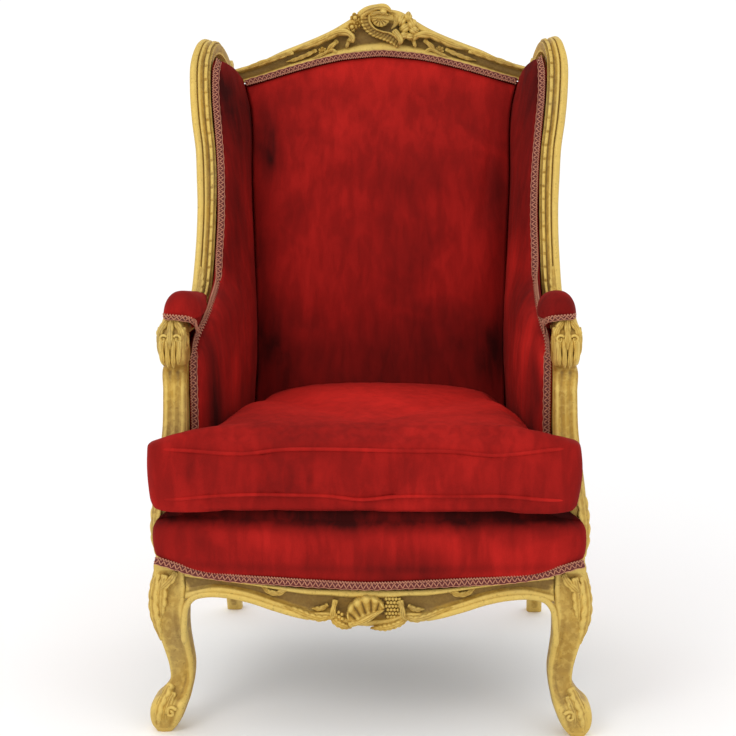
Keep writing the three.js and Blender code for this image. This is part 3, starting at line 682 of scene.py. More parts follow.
def store_relief(mesh: bpy.types.Mesh, depth: float = 0.0011, rounds: int = 14) -> None:
    """Store how far each vertex stands over its smoothed surroundings: 0 in a hollow, 1 on a ridge."""
    points = read_points(mesh)
    normals = np.empty(len(mesh.vertices) * 3, np.float32)
    mesh.vertices.foreach_get("normal", normals)
    lift = ((points - smoothed(mesh, points, rounds)) * normals.reshape(-1, 3)).sum(axis=1)
    wide = smoothed(mesh, lift[:, None], 2)[:, 0]
    store_value(mesh, "relief", np.clip(0.5 + 0.5 * wide / depth, 0, 1))


NapAndPaintedLight = Callable[[Array], Array]


def even_nap(points: Array) -> Array:
    """The same brushed pile all over."""
    return np.full(len(points), 0.6)


@dataclass
class Workshop:
    """Turns shapes into finished pieces of the throne."""

    finishes: dict[Slot, bpy.types.Material]
    count: int = 0

    def piece(self, name: str, shape: Shape, slot: Slot, nodes: Sequence[str],
              nap_and_painted_light: NapAndPaintedLight = even_nap) -> bpy.types.Object:
        """Make a piece, dress it, and let it stand for CAD nodes.

        Args:
            name: the piece's name.
            shape: its shape.
            slot: its material slot.
            nodes: the CAD nodes that it stands for.
            nap_and_painted_light: brushed state of the pile at each point, with painted shade and painted highlights
                where marks put them, for velvet.

        Returns:
            The new object.
        """
        mesh = mesh_from(name, shape)
        if slot is Slot.GILT:
            store_relief(mesh)
        if slot is Slot.VELVET:
            store_value(mesh, "nap_and_painted_light", nap_and_painted_light(shape.points))
        return self.adopt(bpy.data.objects.new(name, mesh), slot, nodes)

    def adopt(self, obj: bpy.types.Object, slot: Slot, nodes: Sequence[str]) -> bpy.types.Object:
        """Link an object into the scene, give it its finish, and tie it to the frame."""
        if obj.name not in bpy.context.scene.collection.objects:
            bpy.context.scene.collection.objects.link(obj)
        obj.data.materials.clear()
        obj.data.materials.append(self.finishes[slot])
        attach(obj, "root")
        if nodes:
            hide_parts(*nodes)
        self.count += 1
        LOG.info("piece %s: %d faces, for %s", obj.name, len(obj.data.polygons),
                 ", ".join(nodes) or "itself")
        return obj

    def pair(self, name: str, shape: Shape, slot: Slot, node: str,
             nap_and_painted_light: NapAndPaintedLight = even_nap) -> list[bpy.types.Object]:
        """Make a right-hand piece and its mirror image on the left."""
        return [self.piece(f"{name}_{side}", form, slot, [f"{node}_{side}"], nap_and_painted_light)
                for side, form in (("right", shape), ("left", shape.mirrored()))]


# ---- The chair's lines -----------------------------------------------------------------------
@dataclass(frozen=True)
class Lines:
    """The outlines that several pieces share."""

    rail_top: Stops = Stops(((0, 254), (83, 255), (166, 261), (242, 267), (299, 276)))
    rail_low: Stops = Stops(((0, 194), (37, 197), (62, 206), (95, 207), (143, 221), (195, 236), (249, 241),
                             (299, 229)))
    rail_front: Stops = Stops(((0, -46), (120, -44), (220, -33), (299, -22)))
    deck_low: Stops = Stops(((0, 270), (166, 277), (242, 283), (290, 291), (320, 299), (351, 306)))
    crest_top: Stops = Stops(((0, 1190), (38, 1183), (66, 1166), (92, 1151), (120, 1138), (155, 1124),
                              (191, 1110), (230, 1092), (283, 1076)))
    crest_low: Stops = Stops(((0, 1107), (77, 1100), (152, 1083), (228, 1061), (283, 1046)))
    wing: Track = Track(((301, 668, 330, 297), (326, 681, 329, 295), (350, 718, 327, 293),
                         (380, 781, 325, 292),
                         (402, 830, 325.5, 292), (422, 880, 328.5, 293), (440, 930, 332, 296.5),
                         (456, 984, 340, 303), (474, 1040, 345, 307.5), (492, 1086, 345, 308),
                         (513, 1111, 338, 304), (545, 1118, 330, 298), (578, 1104, 323, 291),
                         (601, 1082, 321, 285)))
    leg_sweep: Stops = Stops(((0, 597), (60, 561), (130, 521), (200, 486), (262, 466), (325, 463),
                              (400, 476.5)))
    rake: float = 0.19
    rake_y: float = 600.0
    rake_z: float = 1050.0
    crest_half: float = 283.0
    bow: float = 16.0

    def back_face(self, z: Any) -> Array:
        """Front face of the back's frame: a straight lean."""
        return self.rake_y + self.rake * (np.asarray(z, float) - self.rake_z)

    def stile_front(self, z: Any) -> Array:
        """Front of the back leg: the lean above the seat, the backward sweep below it."""
        return np.where(np.asarray(z) < 400, self.leg_sweep(z), self.back_face(z))

    def crest_bow(self, x: Any) -> Array:
        """How far the crest bows back: a parabola across the chair."""
        return self.bow * (1 - (np.asarray(x, float) / self.crest_half) ** 2)

    def crest_point(self, x: Any, z: Any, lift: Any = 0.0) -> Array:
        """Point on the crest's front face, or in front of it by lift."""
        x, z, lift = np.broadcast_arrays(np.asarray(x, float), np.asarray(z, float), np.asarray(lift, float))
        return np.stack((x, self.back_face(z) + self.crest_bow(x) - lift, z), -1)


LINES = Lines()


# ---- Gilt frame ------------------------------------------------------------------------------
@dataclass
class FrontLegs:
    """Cabriole front legs with carved knees, moulded edges and scrolled toes."""

    foot_x: float = 336.0
    top: float = 285.0
    sides: int = 80
    steps: int = 120
    outer: Stops = Stops(((0, 350), (15, 357), (40, 358), (52, 353), (65, 339), (80, 330), (104, 330),
                          (126, 334), (155, 341), (185, 348), (208, 352), (230, 351), (258, 349),
                          (285, 349)))
    inner: Stops = Stops(((0, 328), (15, 318), (40, 308), (60, 301), (80, 296), (108, 294), (137, 297),
                          (163, 300), (190, 301), (214, 300), (236, 299), (285, 299)))

    def body(self) -> Shape:
        """Horizontal rings: a superellipse turned by 45 degrees, hollowed in front, beaded at two corners."""
        z = np.linspace(0, self.top, self.steps)[:, None]
        angle = (np.arange(self.sides) / self.sides * 2 * np.pi)[None, :]
        outer, inner = self.outer(z), self.inner(z)
        half = (outer - inner) / 2
        x = (outer + inner) / 2
        y = self.foot_x - x
        block = ease((z - 205) / 30)
        power = mix(1.42, 1.03, block)
        carved = np.sin(np.pi * np.clip(z / 262, 0, 1)) ** 0.6 * (1 - block)
        c, s = np.abs(np.cos(angle)), np.abs(np.sin(angle))
        square = np.sqrt(2) * half / (c**power + s**power) ** (1 / power)
        from_bead = (angle - np.pi / 2 + np.pi) % (2 * np.pi) - np.pi
        other = (angle - 3 * np.pi / 2 + np.pi) % (2 * np.pi) - np.pi
        bead = bump(from_bead, 0, 0.16) + bump(other, 0, 0.16)
        ditch = (bump(np.abs(from_bead), 0.36, 0.1) + bump(np.abs(other), 0.36,
                                                           0.1)) * (np.cos(angle) > -0.2)
        hollow = np.where(np.cos(angle) > 0.05, np.sin(2 * angle) ** 2, 0)
        keel = bump(np.minimum(angle, 2 * np.pi - angle), 0, 0.12)
        factor = 1 + carved * (0.075 * bead - 0.06 * ditch - 0.10 * hollow + 0.03 * keel)
        reach = np.minimum(square * factor, half * np.sqrt(2) * 1.02)
        turned = angle - np.pi / 4
        return loft(np.stack((x + np.cos(turned) * reach, y + np.sin(turned) * reach, z + 0 * turned), -1))

    def carving(self) -> list[Shape]:
        """Acanthus over the knee, with side leaves, and a curled leaf with a scroll on the toe."""
        knee = (1.0, -1.0, 0.2)
        leaves = [
            Leaf(((343, -7, 270), (348.5, -11, 242), (350, -13, 214), (346.5, -10.5, 186), (339, -4, 156)),
                 25, 6.5,
                 knee, 6, 0.6),
            Leaf(((348, 8, 270), (351.5, 4, 248), (352.5, 0, 222), (349, -2, 194)), 17, 5.0,
                 (1.0, -0.4, 0.2), 5, 0.6),
            Leaf(((330, -17, 270), (333.5, -19, 248), (336, -20, 222), (338, -15, 194)), 17, 5.0,
                 (0.4, -1.0, 0.2),
                 5, 0.6),
            Leaf(((312, -15, 274), (318, -20, 264), (329, -22, 253), (338, -19, 244)), 12, 5,
                 (0.1, -1.0, 0.2), 3),
            Leaf(((328, -2, 78), (335, -10, 63), (343, -19, 48), (347, -24, 30), (345, -20, 12)), 20, 7.0,
                 (1.0, -1.0, 0.35), 5, 0.6),
            Leaf(((336, 4, 62), (342, -1, 50), (347, -5, 36), (347, -5, 20)), 13, 4.5, (1.0, -0.2, 0.3), 3),
            Leaf(((322, -10, 66), (328, -18, 54), (333, -24, 38), (333, -24, 20)), 13, 5.5,
                 (0.2, -1.0, 0.3), 3),
        ]
        scroll = Volute((325, -26.0, 38), 9.5, 1.2, 0.4, 4.0, (0.15, -1.0, 0.1))
        side_scroll = Volute((352, 10, 36), 8.5, -1.2, 2.6, 3.2, (1.0, -0.15, 0.1))
        return [leaf.shape() for leaf in leaves] + [scroll.shape(), side_scroll.shape()]

    def build(self, shop: Workshop) -> None:
        """Make both front legs."""
        shop.pair("front_leg_carved", joined([self.body(), *self.carving()]), Slot.GILT, "front_leg")


@dataclass
class ArmFrames:
    """Fluted arm posts that sweep up from the legs, their carved knuckles and the arm rails."""

    rail_top: float = 681.0
    foot: float = 285.6
    outer: Stops = Stops(((286, 348), (345, 350), (392, 349), (454, 342), (500, 337), (560, 335), (600, 334),
                          (603, 332), (608, 335), (640, 337), (665, 335), (681, 331)))
    inner: Stops = Stops(((286, 306), (345, 309), (392, 306), (454, 299), (500, 296), (560, 296), (600, 296),
                          (603, 296), (608, 294), (640, 293.5), (665, 295), (681, 299)))
    front: Stops = Stops(((286, -6), (345, -3), (392, 4), (454, 18), (500, 30), (560, 36), (600, 38),
                          (603, 34), (608, 26), (625, 18), (650, 17), (668, 24), (681, 34)))
    back: Stops = Stops(((286, 46), (345, 48), (392, 54), (454, 66), (500, 74), (560, 78), (600, 80),
                         (681, 84)))

    def post(self) -> Shape:
        """Horizontal rings: a rounded square whose front carries three reeds between two grooves."""
        z = np.concatenate((np.linspace(self.foot, 598, 150), np.linspace(599, self.rail_top, 70)))[:, None]
        across, deep = superellipse(112, 6.0, 0.5)
        across, deep = across[None, :], deep[None, :]
        fluted = ease((z - 400) / 60) * (1 - ease((z - 592) / 8))
        reeds = 0.5 + 0.5 * np.cos(across * np.pi * 3)
        groove = np.where(deep < -0.55, 1 - reeds, 0) * ease((-deep - 0.55) / 0.3) * (np.abs(across) < 0.96)
        side_groove = np.where(np.abs(across) > 0.9, bump(deep, -0.35, 0.1) + bump(deep, 0.35, 0.1), 0)
        y = mix(self.front(z), self.back(z), (deep * (1 - 0.11 * fluted * groove) + 1) / 2)
        x = mix(self.inner(z), self.outer(z), (across * (1 - 0.06 * fluted * side_groove) + 1) / 2)
        return loft(np.stack((x, y, z + 0 * x), -1))

    def rail(self) -> Shape:
        """Rings along the arm: a moulded outer face with a roll over a hollow."""
        t = np.linspace(0, 1, 60)[:, None]
        low = mix(648, 640, t)
        face = Track(((297, 4), (301, 0.5), (309, 0), (321, 0), (328, 3), (331.5, 9), (330, 14), (326, 18),
                      (326, 24), (330, 28), (333, 33), (332, 38), (328, 41)))
        profile = face(np.linspace(0, 1, 44))
        inset = np.array([[297.0, 41.0]])
        profile = np.concatenate((profile, inset))
        tall = (self.rail_top - low) / 41.0
        x = profile[None, :, 0] + 0 * t
        return loft(np.stack((x, mix(60, 300, t) + 0 * x, low + profile[None, :, 1] * tall), -1))

    def carving(self) -> list[Shape]:
        """Four fingers of a leaf bent over the knuckle, a scroll on each side, and a leaf at the post's foot."""
        facing = (0.0, -1.0, 0.2)
        mid = 315.5
        shapes = []
        for lean in (-1.5, -0.5, 0.5, 1.5):
            short = abs(lean) > 1
            shapes.append(Leaf(((mid + lean * 8.4, 20, 652), (mid + lean * 9.4, 14, 640),
                                (mid + lean * 9.0, 12.5, 625),
                                (mid + lean * 8.0, 18, 609 if short else 604)), 9.6, 7.0, facing, 1, 0.5,
                                0.9).shape())
        for side in (-1, 1):
            shapes += [
                Volute((mid + side * 11.5, 14.0, 651), 7.0, side * 1.1, np.pi * (0.5 - 0.35 * side),
                       2.6).shape(),
                Leaf(((mid + side * 5, 32, 679), (mid + side * 11, 24, 672), (mid + side * 17, 19, 662),
                      (mid + side * 18.5, 19, 647)), 11, 5.0, facing, 3, 0.4, 0.6).shape(),
                Leaf(((mid + side * 19, 30, 668), (mid + side * 20.5, 26, 650), (mid + side * 19.5, 26, 630),
                      (mid + side * 16, 32, 612)), 10, 3.2, (side * 1.0, -0.8, 0.1), 3, 0.3, 0.6).shape(),
                Volute((mid + side * 20.6, 46, 643), 16, -side * 1.6, 1.55 - side * 0.3, 2.4,
                       (side * 1.0, 0.0, 0.0)).shape(),
            ]
        shapes.append(Leaf(((mid, 33, 680), (mid, 19, 668), (mid, 12, 652), (mid, 11, 634)), 10, 6.0,
                           facing, 3, 0.4,
                           0.6).shape())
        foot = [
            Leaf(((343, 0, 300), (346, -1, 330), (345, 1, 362), (341, 8, 396), (334, 16, 430)), 22, 4.5,
                 (0.7, -1.0, 0.0), 6, 0.8),
            Leaf(((347, 20, 300), (349.5, 18, 332), (349, 22, 366), (345, 32, 402)), 20, 3.6,
                 (1.0, -0.15, 0.0), 5),
        ]
        return shapes + [leaf.shape() for leaf in foot]

    def build(self, shop: Workshop) -> None:
        """Make both arm frames."""
        shop.pair("arm_frame_carved", joined([self.post(), self.rail(), *self.carving()]), Slot.GILT,
                  "arm_frame")


@dataclass
class WingFrames:
    """Mouldings that run from the arms up round the wings and over into the back posts."""

    steps: int = 330

    def body(self) -> Shape:
        """A moulded section carried along the wing: an outer roll, a hollow, and a band of carved leaf tips."""
        t = np.linspace(0, 1, self.steps)
        at, along = LINES.wing(t), LINES.wing.along(t)
        along[0], along[-1] = (1, 0, 0, 0), (0.96, -0.28, 0, 0)
        run = unit(along[:, :2])
        out = np.stack((-run[:, 1], run[:, 0]), -1)
        section = Track(((1, -14), (1.0, -2), (0.995, 5), (0.97, 10), (0.92, 13), (0.80, 14.6), (0.70, 14.2),
                         (0.645, 12.5), (0.62, 9.4), (0.595, 9.0), (0.57, 11.6), (0.53, 12.4), (0.46, 10.6),
                         (0.37, 7.6), (0.315, 6.2), (0.285, 8.0), (0.25, 10.8), (0.19, 12.2), (0.13, 11.0),
                         (0.10, 7.5), (0.08, 5.2), (0.02, 5.0), (0, 3), (0, -14)))
        profile = section(np.linspace(0, 1, 70))
        a, h = profile[None, :, 0], profile[None, :, 1]
        run_mm = (t * 640)[:, None]
        husk = (run_mm / 27.0) % 1.0
        swell = ease(husk / 0.22) * (1 - 0.35 * ease((husk - 0.35) / 0.65))
        barb = 0.5 + 0.5 * np.cos(2 * np.pi * (run_mm / 4.5 + 9.0 * np.abs(a - 0.19)))
        where = ease((run_mm - 24) / 20) * (1 - ease((t[:, None] - 0.9) / 0.05))
        bead = np.exp(-(((a - 0.19) / 0.085) ** 2)) * (h > 5.5)
        worn = 0.35 * ripple(np.stack((0 * a + run_mm, 40 * a + 0 * run_mm, 0 * a + 0 * run_mm), -1), 81,
                             26.0)
        h = h - where * bead * (4.6 * (1 - swell) + 1.0 * barb) + worn * (h > 4)
        x = mix(at[:, 3:4], at[:, 2:3], a)
        y = at[:, 0:1] + out[:, 0:1] * h
        z = at[:, 1:2] + out[:, 1:2] * h
        return loft(np.stack((x, y, z), -1))

    def carving(self) -> list[Shape]:
        """A curled leaf over the foot of the moulding, where it leaves the arm."""
        t = np.linspace(0.01, 0.13, 6)
        at, run = LINES.wing(t), unit(LINES.wing.along(t)[:, :2])
        x = mix(at[:, 3], at[:, 2], 0.6)
        points = np.stack((x, at[:, 0] - run[:, 1] * 11.0, at[:, 1] + run[:, 0] * 11.0), -1)
        return [Leaf(tuple(map(tuple, points)), 16.0, 4.0, (0.2, -1.0, 0.6), 4, 0.5).shape()]

    def build(self, shop: Workshop) -> None:
        """Make both wing mouldings."""
        shop.pair("wing_frame_carved", joined([self.body(), *self.carving()]), Slot.GILT, "wing_frame")


@dataclass
class BackLegs:
    """Back legs, each one piece with the post of the back."""

    top: float = 1094.0
    thick: float = 40.0
    half: float = 19.0
    foot_x: Stops = Stops(((0, 303), (120, 300), (270, 303)))

    def body(self) -> Shape:
        """Horizontal rounded rings that follow the leg's sweep, slimmer towards the foot, chamfered on top."""
        z = np.concatenate((np.linspace(0, 400, 120), np.linspace(404, self.top, 90)))[:, None]
        c, s = superellipse(40, 4.5, 0.5)
        slim = mix(0.78, 1, ease(z / 230)) * (1 - 0.12 * ease((z - self.top + 8) / 8))
        x = self.foot_x(np.minimum(z, 270)) + c[None, :] * self.half * slim
        y = LINES.stile_front(z) + self.thick / 2 + s[None, :] * (self.thick / 2 - 0.5) * slim
        return loft(np.stack((x, y, z + 0 * x), -1))

    def build(self, shop: Workshop) -> None:
        """Make both back legs."""
        shop.pair("back_leg_turned", self.body(), Slot.GILT, "back_leg")


@dataclass
class SeatRails:
    """The serpentine front rail with its shell, and the side rails."""

    block_inner: float = 298.5

    def front_body(self) -> Shape:
        """Vertical rings across the chair: bead below, hollow face, narrow lip above."""
        x = np.linspace(-self.block_inner + 1, self.block_inner - 1, 180)
        low, top, front = LINES.rail_low(np.abs(x)), LINES.rail_top(np.abs(x)), LINES.rail_front(np.abs(x))
        section = Track(((34, 4, 0), (30, 0.5, 0), (14, 0, 0), (5, 0, 0), (1, 2, 0), (-0.5, 6, 0),
                         (1, 10.5, 0),
                         (5, 13, 0), (8, 16, 0.12), (9, 20, 0.3), (8, 20, 0.55), (4, 16, 0.78),
                         (1.8, 13, 0.9),
                         (2, 13, 1.0), (4.5, 13, 1.0)))
        profile = section(np.linspace(0, 1, 46))
        rise = np.maximum(top - low - 13, 6)[:, None]
        y = front[:, None] + profile[None, :, 0]
        z = low[:, None] + np.minimum(profile[None, :, 1], 13) + profile[None, :, 2] * rise
        rings = np.stack((x[:, None] + 0 * y, y, np.minimum(z, top[:, None])), -1)
        rear = np.stack((x, front + 34, top), -1)[:, None]
        return loft(np.concatenate((rings, rear), axis=1))

    def edge_bead(self, side: int) -> Shape:
        """A bead that carries the leg's inner edge round the corner and along the rail's lower edge."""
        stops = ((302, -18.5, 150), (300.5, -19.5, 190), (296, -21, 218), (284, -22.5, 233), (262, -26, 240),
                 (228, -31, 240.5), (190, -36, 234.5), (150, -41, 223), (112, -44, 213), (88, -45.5, 209))
        mirrored = tuple((side * x, y, z) for x, y, z in stops)
        return tube(Track(mirrored), 160, lambda t: 5.2 * ease(t / 0.06 + 0.2) * ease((1 - t) / 0.04 + 0.3),
                    np.array([0.0, -1.0, 0.0]), 0.85, 16)

    def front_carving(self) -> list[Shape]:
        """The shell with its hinge ridge, a field of pearls beside it, frills, C-scrolls and small sprays."""
        face = float(LINES.rail_front(0))
        out = (0.0, -1.0, 0.0)
        hinge = Leaf(((-29, face - 3, 200), (-16, face - 10, 205), (0, face - 13, 213), (14, face - 10, 221),
                      (25, face - 4, 225)), 9.5, 6.5, out, 2, 0, 0.8)
        shapes = [self._scallop(face), hinge.shape(), self._pearl_field(face)]
        frills = [((-58, face + 2, 209), (-50, face - 2, 202), (-40, face - 3, 197), (-26, face - 2, 194)),
                  ((62, face + 2, 209), (50, face - 3, 202), (32, face - 4, 196), (4, face - 3, 193.5))]
        shapes += [Leaf(stops, 11, 5.5, out, lobes).shape() for stops, lobes in zip(frills, (5, 8))]
        shapes += [pearl((-52 + n * 5.4, face + 1, 214 - n * 3.4), 3.6) for n in range(3)]
        shapes += [pearl((-47 + n * 5.4, face - 0.5, 219 - n * 3.4), 2.8) for n in range(2)]
        for side in (-1, 1):
            shapes += [
                Leaf(((side * 52, face + 3, 238), (side * 55, face - 3, 226), (side * 57, face - 3, 214),
                      (side * 66, face + 1, 207)), 9, 6.5, out, 2, 0, 0.7).shape(),
                Leaf(((side * 58, face + 3, 212), (side * 74, face - 2, 209), (side * 94, face - 1, 213),
                      (side * 116, face + 3, 221), (side * 138, face + 8, 228)), 11, 5.5, out, 8,
                      0.4).shape(),
                Leaf(((side * 64, face + 4, 230), (side * 76, face + 2, 224), (side * 90, face + 4, 224)),
                     8, 4, out,
                     3).shape(),
                Leaf(((side * 130, face + 9, 254), (side * 143, face + 7, 248), (side * 158, face + 9, 249),
                      (side * 172, face + 13, 258)), 9, 4, out, 4, 0.4).shape(),
            ]
        return shapes

    def _scallop(self, face: float) -> Shape:
        """Shell whose ribs spread from a slanting hinge to an arc above it."""
        ribs = 6
        u = np.linspace(0, 1, ribs * 10 + 1)[None, :]
        v = np.linspace(0, 1, 18)[:, None]
        hinge = Track(((-25, 203), (-2, 212), (21, 223)))(u[0])
        arc = Track(((-32, 206), (-34, 221), (-27, 235), (-15, 244), (-1, 248), (14, 245), (24, 236),
                     (27, 227)))(u[0])
        ridge = np.abs(np.sin(np.pi * u * ribs)) ** 0.75
        flat = mix(hinge[None], arc[None], (v * (0.93 + 0.07 * ridge))[..., None])
        profile = Stops(((0, 0.9), (0.3, 0.72), (0.62, 0.78), (0.86, 1.0), (0.96, 0.8), (1, 0.4)))(v)
        high = 11.5 * profile * mix(1, mix(0.42, 1, ridge), ease(v / 0.25))
        surface = np.stack((flat[..., 0], face + 1 - high, flat[..., 1]), -1)
        return slab(surface, np.stack((flat[..., 0], face + 12 + 0 * high, flat[..., 1]), -1))

    def _pearl_field(self, face: float) -> Shape:
        """Rows of small beads to the right of the shell, each row shorter than the one above."""
        spots = [(29 + column * 5.4 + (row % 2) * 2.7,
                  240 - row * 6.0) for row in range(6) for column in range(5)]
        inside = [(x, z) for x, z in spots if x < 55 and x > 24 + (240 - z) * 0.05]
        return joined([pearl((x, face + 4.5, z), 2.9) for x, z in inside])

    def side_body(self) -> Shape:
        """Vertical rings along the side: bead below, hollow face, lip above."""
        t = np.linspace(0, 1, 120)[:, None]
        outer = mix(349, 324, t)
        low = 229 + 9 * np.sin(np.pi * t)
        top = mix(281, 279, t)
        section = Track(((34, 4), (26, 0.5), (10, 0), (3, 1), (0, 5), (1.5, 10), (5, 14), (7.5, 21),
                         (7, 31), (3.5, 38),
                         (1.5, 42), (1.5, 46)))
        profile = section(np.linspace(0, 1, 52))
        tall = (top - low) / 46
        x = outer - profile[None, :, 0]
        z = low + profile[None, :, 1] * tall
        y = mix(46.5, float(LINES.stile_front(281)) - 1.5, t) + 0 * x
        rear = np.stack((outer - 34, y[:, :1], top), -1)
        return loft(np.concatenate((np.stack((x, y, z), -1), rear), axis=1))

    def build(self, shop: Workshop) -> None:
        """Make the front rail and both side rails."""
        beads = [self.edge_bead(side) for side in (-1, 1)]
        front = joined([self.front_body(), *beads, *self.front_carving()])
        shop.piece("front_rail_carved", front, Slot.GILT, ["front_rail"])
        shop.pair("side_rail_moulded", self.side_body(), Slot.GILT, "side_rail")


@dataclass
class CrestRail:
    """The arched top rail with its cartouche of a shell, flowers and scrolling leaves."""

    half: float = 283.0

    def body(self) -> Shape:
        """Vertical rings across the back: a fillet below, a deep hollow, and a roll along the top."""
        x = np.linspace(-self.half, self.half, 320)
        low, top = LINES.crest_low(np.abs(x)), LINES.crest_top(np.abs(x))
        section = Track(((40, 0), (20, 0), (3, 0), (0, 0.02), (-1.5, 0.08), (-0.5, 0.16), (4, 0.24),
                         (7.5, 0.36),
                         (8.5, 0.5), (6, 0.62), (1, 0.72), (-4, 0.80), (-5.5, 0.88), (-3, 0.96), (4, 1.0),
                         (14, 1.0),
                         (30, 0.98), (37, 0.94)))
        profile = section(np.linspace(0, 1, 76))
        z = mix(low[:, None], top[:, None], profile[None, :, 1])
        y = LINES.back_face(z) + LINES.crest_bow(x)[:, None] + profile[None, :, 0]
        return loft(np.stack((x[:, None] + 0 * z, y, z), -1))

    def carving(self) -> list[Shape]:
        """Everything that stands forward of the rail, placed on its front face."""
        at = lambda x, z, lift: tuple(float(k) for k in LINES.crest_point(x, z, lift))
        front = (0.0, -1.0, 0.19)
        leaf = lambda *args: Leaf(*args).shape()
        shapes = [
            self._swept_shell(),
            self._small_shell(),
            leaf((at(-40, 1176, 4), at(-27, 1185, 9), at(-6, 1191, 12), at(10, 1190, 12), at(22, 1180, 7)),
                 15, 9,
                 front, 1, 0, 0.8),
            leaf((at(-20, 1178, 7), at(-8, 1181, 12), at(4, 1180, 13), at(15, 1176, 10)), 8, 6, front, 1, 0,
                 0.8),
            pearl(at(5, 1183, 16), 7.0),
            leaf((at(24, 1182, 5), at(30, 1170, 9), at(27, 1158, 9), at(20, 1150, 7)), 9, 6, front, 2, 0,
                 0.7),
            leaf((at(26, 1146, 9), at(33, 1138, 14), at(38, 1129, 14), at(36, 1120, 9)), 12, 8, front, 1, 0,
                 0.8),
        ]
        petals = [(40, 1166, 12, 0.4), (52, 1172, 11, 0.1), (60, 1160, 13, -0.5), (46, 1152, 12, 0.9),
                  (62, 1148, 11, -0.9), (44, 1138, 10, 1.2), (54, 1136, 9, -1.4)]
        for x, z, size, lean in petals:
            reach_x, reach_z = size * np.sin(lean), size * np.cos(lean)
            shapes.append(leaf((at(x - reach_x * 0.6, z - reach_z * 0.6, 3), at(x, z, 11),
                                at(x + reach_x * 0.7, z + reach_z * 0.7, 5)), size * 1.35, 7.5, front, 2,
                                0.5, 0.8))
        for n, (x, z, size) in enumerate(((-49, 1172, 10), (-55, 1155, 10), (-45, 1160, 7.5),
                                          (58, 1158, 9.5))):
            shapes.append(rosette(LINES.crest_point(x, z, 4.0), size, 5, 9.0, front, n * 0.7))
        shapes += [pearl(at(-49, 1172, 13), 4.2), pearl(at(-55, 1155, 13), 4.0)]
        for side in (-1, 1):
            shapes += self._scrolls(at, front, side)
            shapes.append(rosette(LINES.crest_point(side * 112, 1110, -5.5), 9.0, 6, 4.5, front, 0.4))
        return shapes

    def _swept_shell(self) -> Shape:
        """C-shaped shell: ribs across a band between a scalloped outer rim and a rolled inner rim."""
        columns, rows = 151, 20
        u = np.linspace(0, 1, columns)[None, :]
        v = np.linspace(0, 1, rows)[:, None]
        outer = Track(((-36, 1183), (-39, 1166), (-31, 1149), (-15, 1137), (2, 1131), (18, 1124),
                       (34, 1114)))(u[0])
        inner = Track(((-20, 1181), (-19, 1165), (-10, 1153), (5, 1147), (20, 1144), (29, 1137),
                       (37, 1126)))(u[0])
        ribs = np.abs(np.sin(np.pi * u * 15)) ** 0.65
        away = 1.6 * (ribs - 0.5) * (1 - v) ** 3
        flat = mix(outer[None], inner[None], v[..., None]) + (outer - inner)[None] / 16 * away[..., None]
        ends = ease(u / 0.05) * ease((1 - u) / 0.05)
        dish = Stops(((0, 0.55), (0.1, 0.95), (0.4, 0.62), (0.7, 0.7), (0.84, 1.5), (0.94, 1.5),
                      (1, 0.7)))(v)
        flute = mix(0.5, 1.0, ribs) * (1 - ease((v - 0.7) / 0.1)) + ease((v - 0.7) / 0.1)
        high = (3 + 9.0 * dish * flute) * mix(0.4, 1, ends)
        face = LINES.crest_point(flat[..., 0], flat[..., 1], high)
        back = LINES.crest_point(flat[..., 0], flat[..., 1], -6.0)
        return slab(face, back)

    def _small_shell(self) -> Shape:
        """Small ribbed shell inside the C, with a deep eye beside it."""
        u = np.linspace(0, 1, 61)[None, :]
        v = np.linspace(0, 1, 14)[:, None]
        angle = mix(np.pi * 1.0, np.pi * 1.92, u)
        ribs = np.abs(np.sin(np.pi * u * 6)) ** 0.7
        reach = mix(3.0, 17.0 + 0.8 * ribs, v)
        x, z = -1 + np.cos(angle) * reach, 1171 + np.sin(angle) * reach * 0.92
        high = 2.5 + 5.5 * mix(0.45, 1, ribs) * np.sin(np.pi * (0.15 + 0.7 * v))
        return slab(LINES.crest_point(x, z, high), LINES.crest_point(x, z, -5.0))

    def _scrolls(self, at: Callable[..., tuple], front: tuple, side: int) -> list[Shape]:
        """Leaves that run out from the cartouche along the rail, the inner end of the long one curled down."""
        if side < 0:
            main = (at(-58, 1128, 4), at(-55, 1136, 9), at(-64, 1144, 10), at(-82, 1144, 7),
                    at(-106, 1134, 4),
                    at(-132, 1123, 2), at(-170, 1110, 0))
        else:
            main = (at(60, 1134, 5), at(74, 1139, 9), at(94, 1138, 8), at(114, 1130, 5), at(134, 1121, 3),
                    at(172, 1109, 0))
        leaves = [
            Leaf(main, 13, 6.5, front, 5, 0.5, 0.7),
            Leaf((at(side * 84, 1129, 0), at(side * 90, 1123, 4), at(side * 98, 1116, 3),
                  at(side * 104, 1108, 0)), 9,
                 5, front, 2, 0.3, 0.6),
            Leaf((at(side * 62, 1130, 1), at(side * 64, 1122, 5), at(side * 66, 1115, 3)), 8, 5, front, 1,
                 0, 0.7),
            Leaf((at(side * 84, 1106, -3), at(side * 94, 1112, 2), at(side * 112, 1104, 1),
                  at(side * 134, 1094, -3)), 7,
                 4, front, 1, 0, 0.8),
            Leaf((at(side * 124, 1112, -4), at(side * 140, 1104, 0), at(side * 160, 1096, -1),
                  at(side * 182, 1090, -4)),
                 8, 4, front, 4, 0.3, 0.6),
            Leaf((at(side * 168, 1109, 1), at(side * 200, 1098, 4), at(side * 236, 1086, 3),
                  at(side * 266, 1076, 0)),
                 10, 4.5, front, 5, 0.3, 0.7),
        ]
        return [leaf.shape() for leaf in leaves]

    def build(self, shop: Workshop) -> None:
        """Make the crest rail."""
        shop.piece("crest_rail_carved", joined([self.body(), *self.carving()]), Slot.GILT, ["crest_rail"])


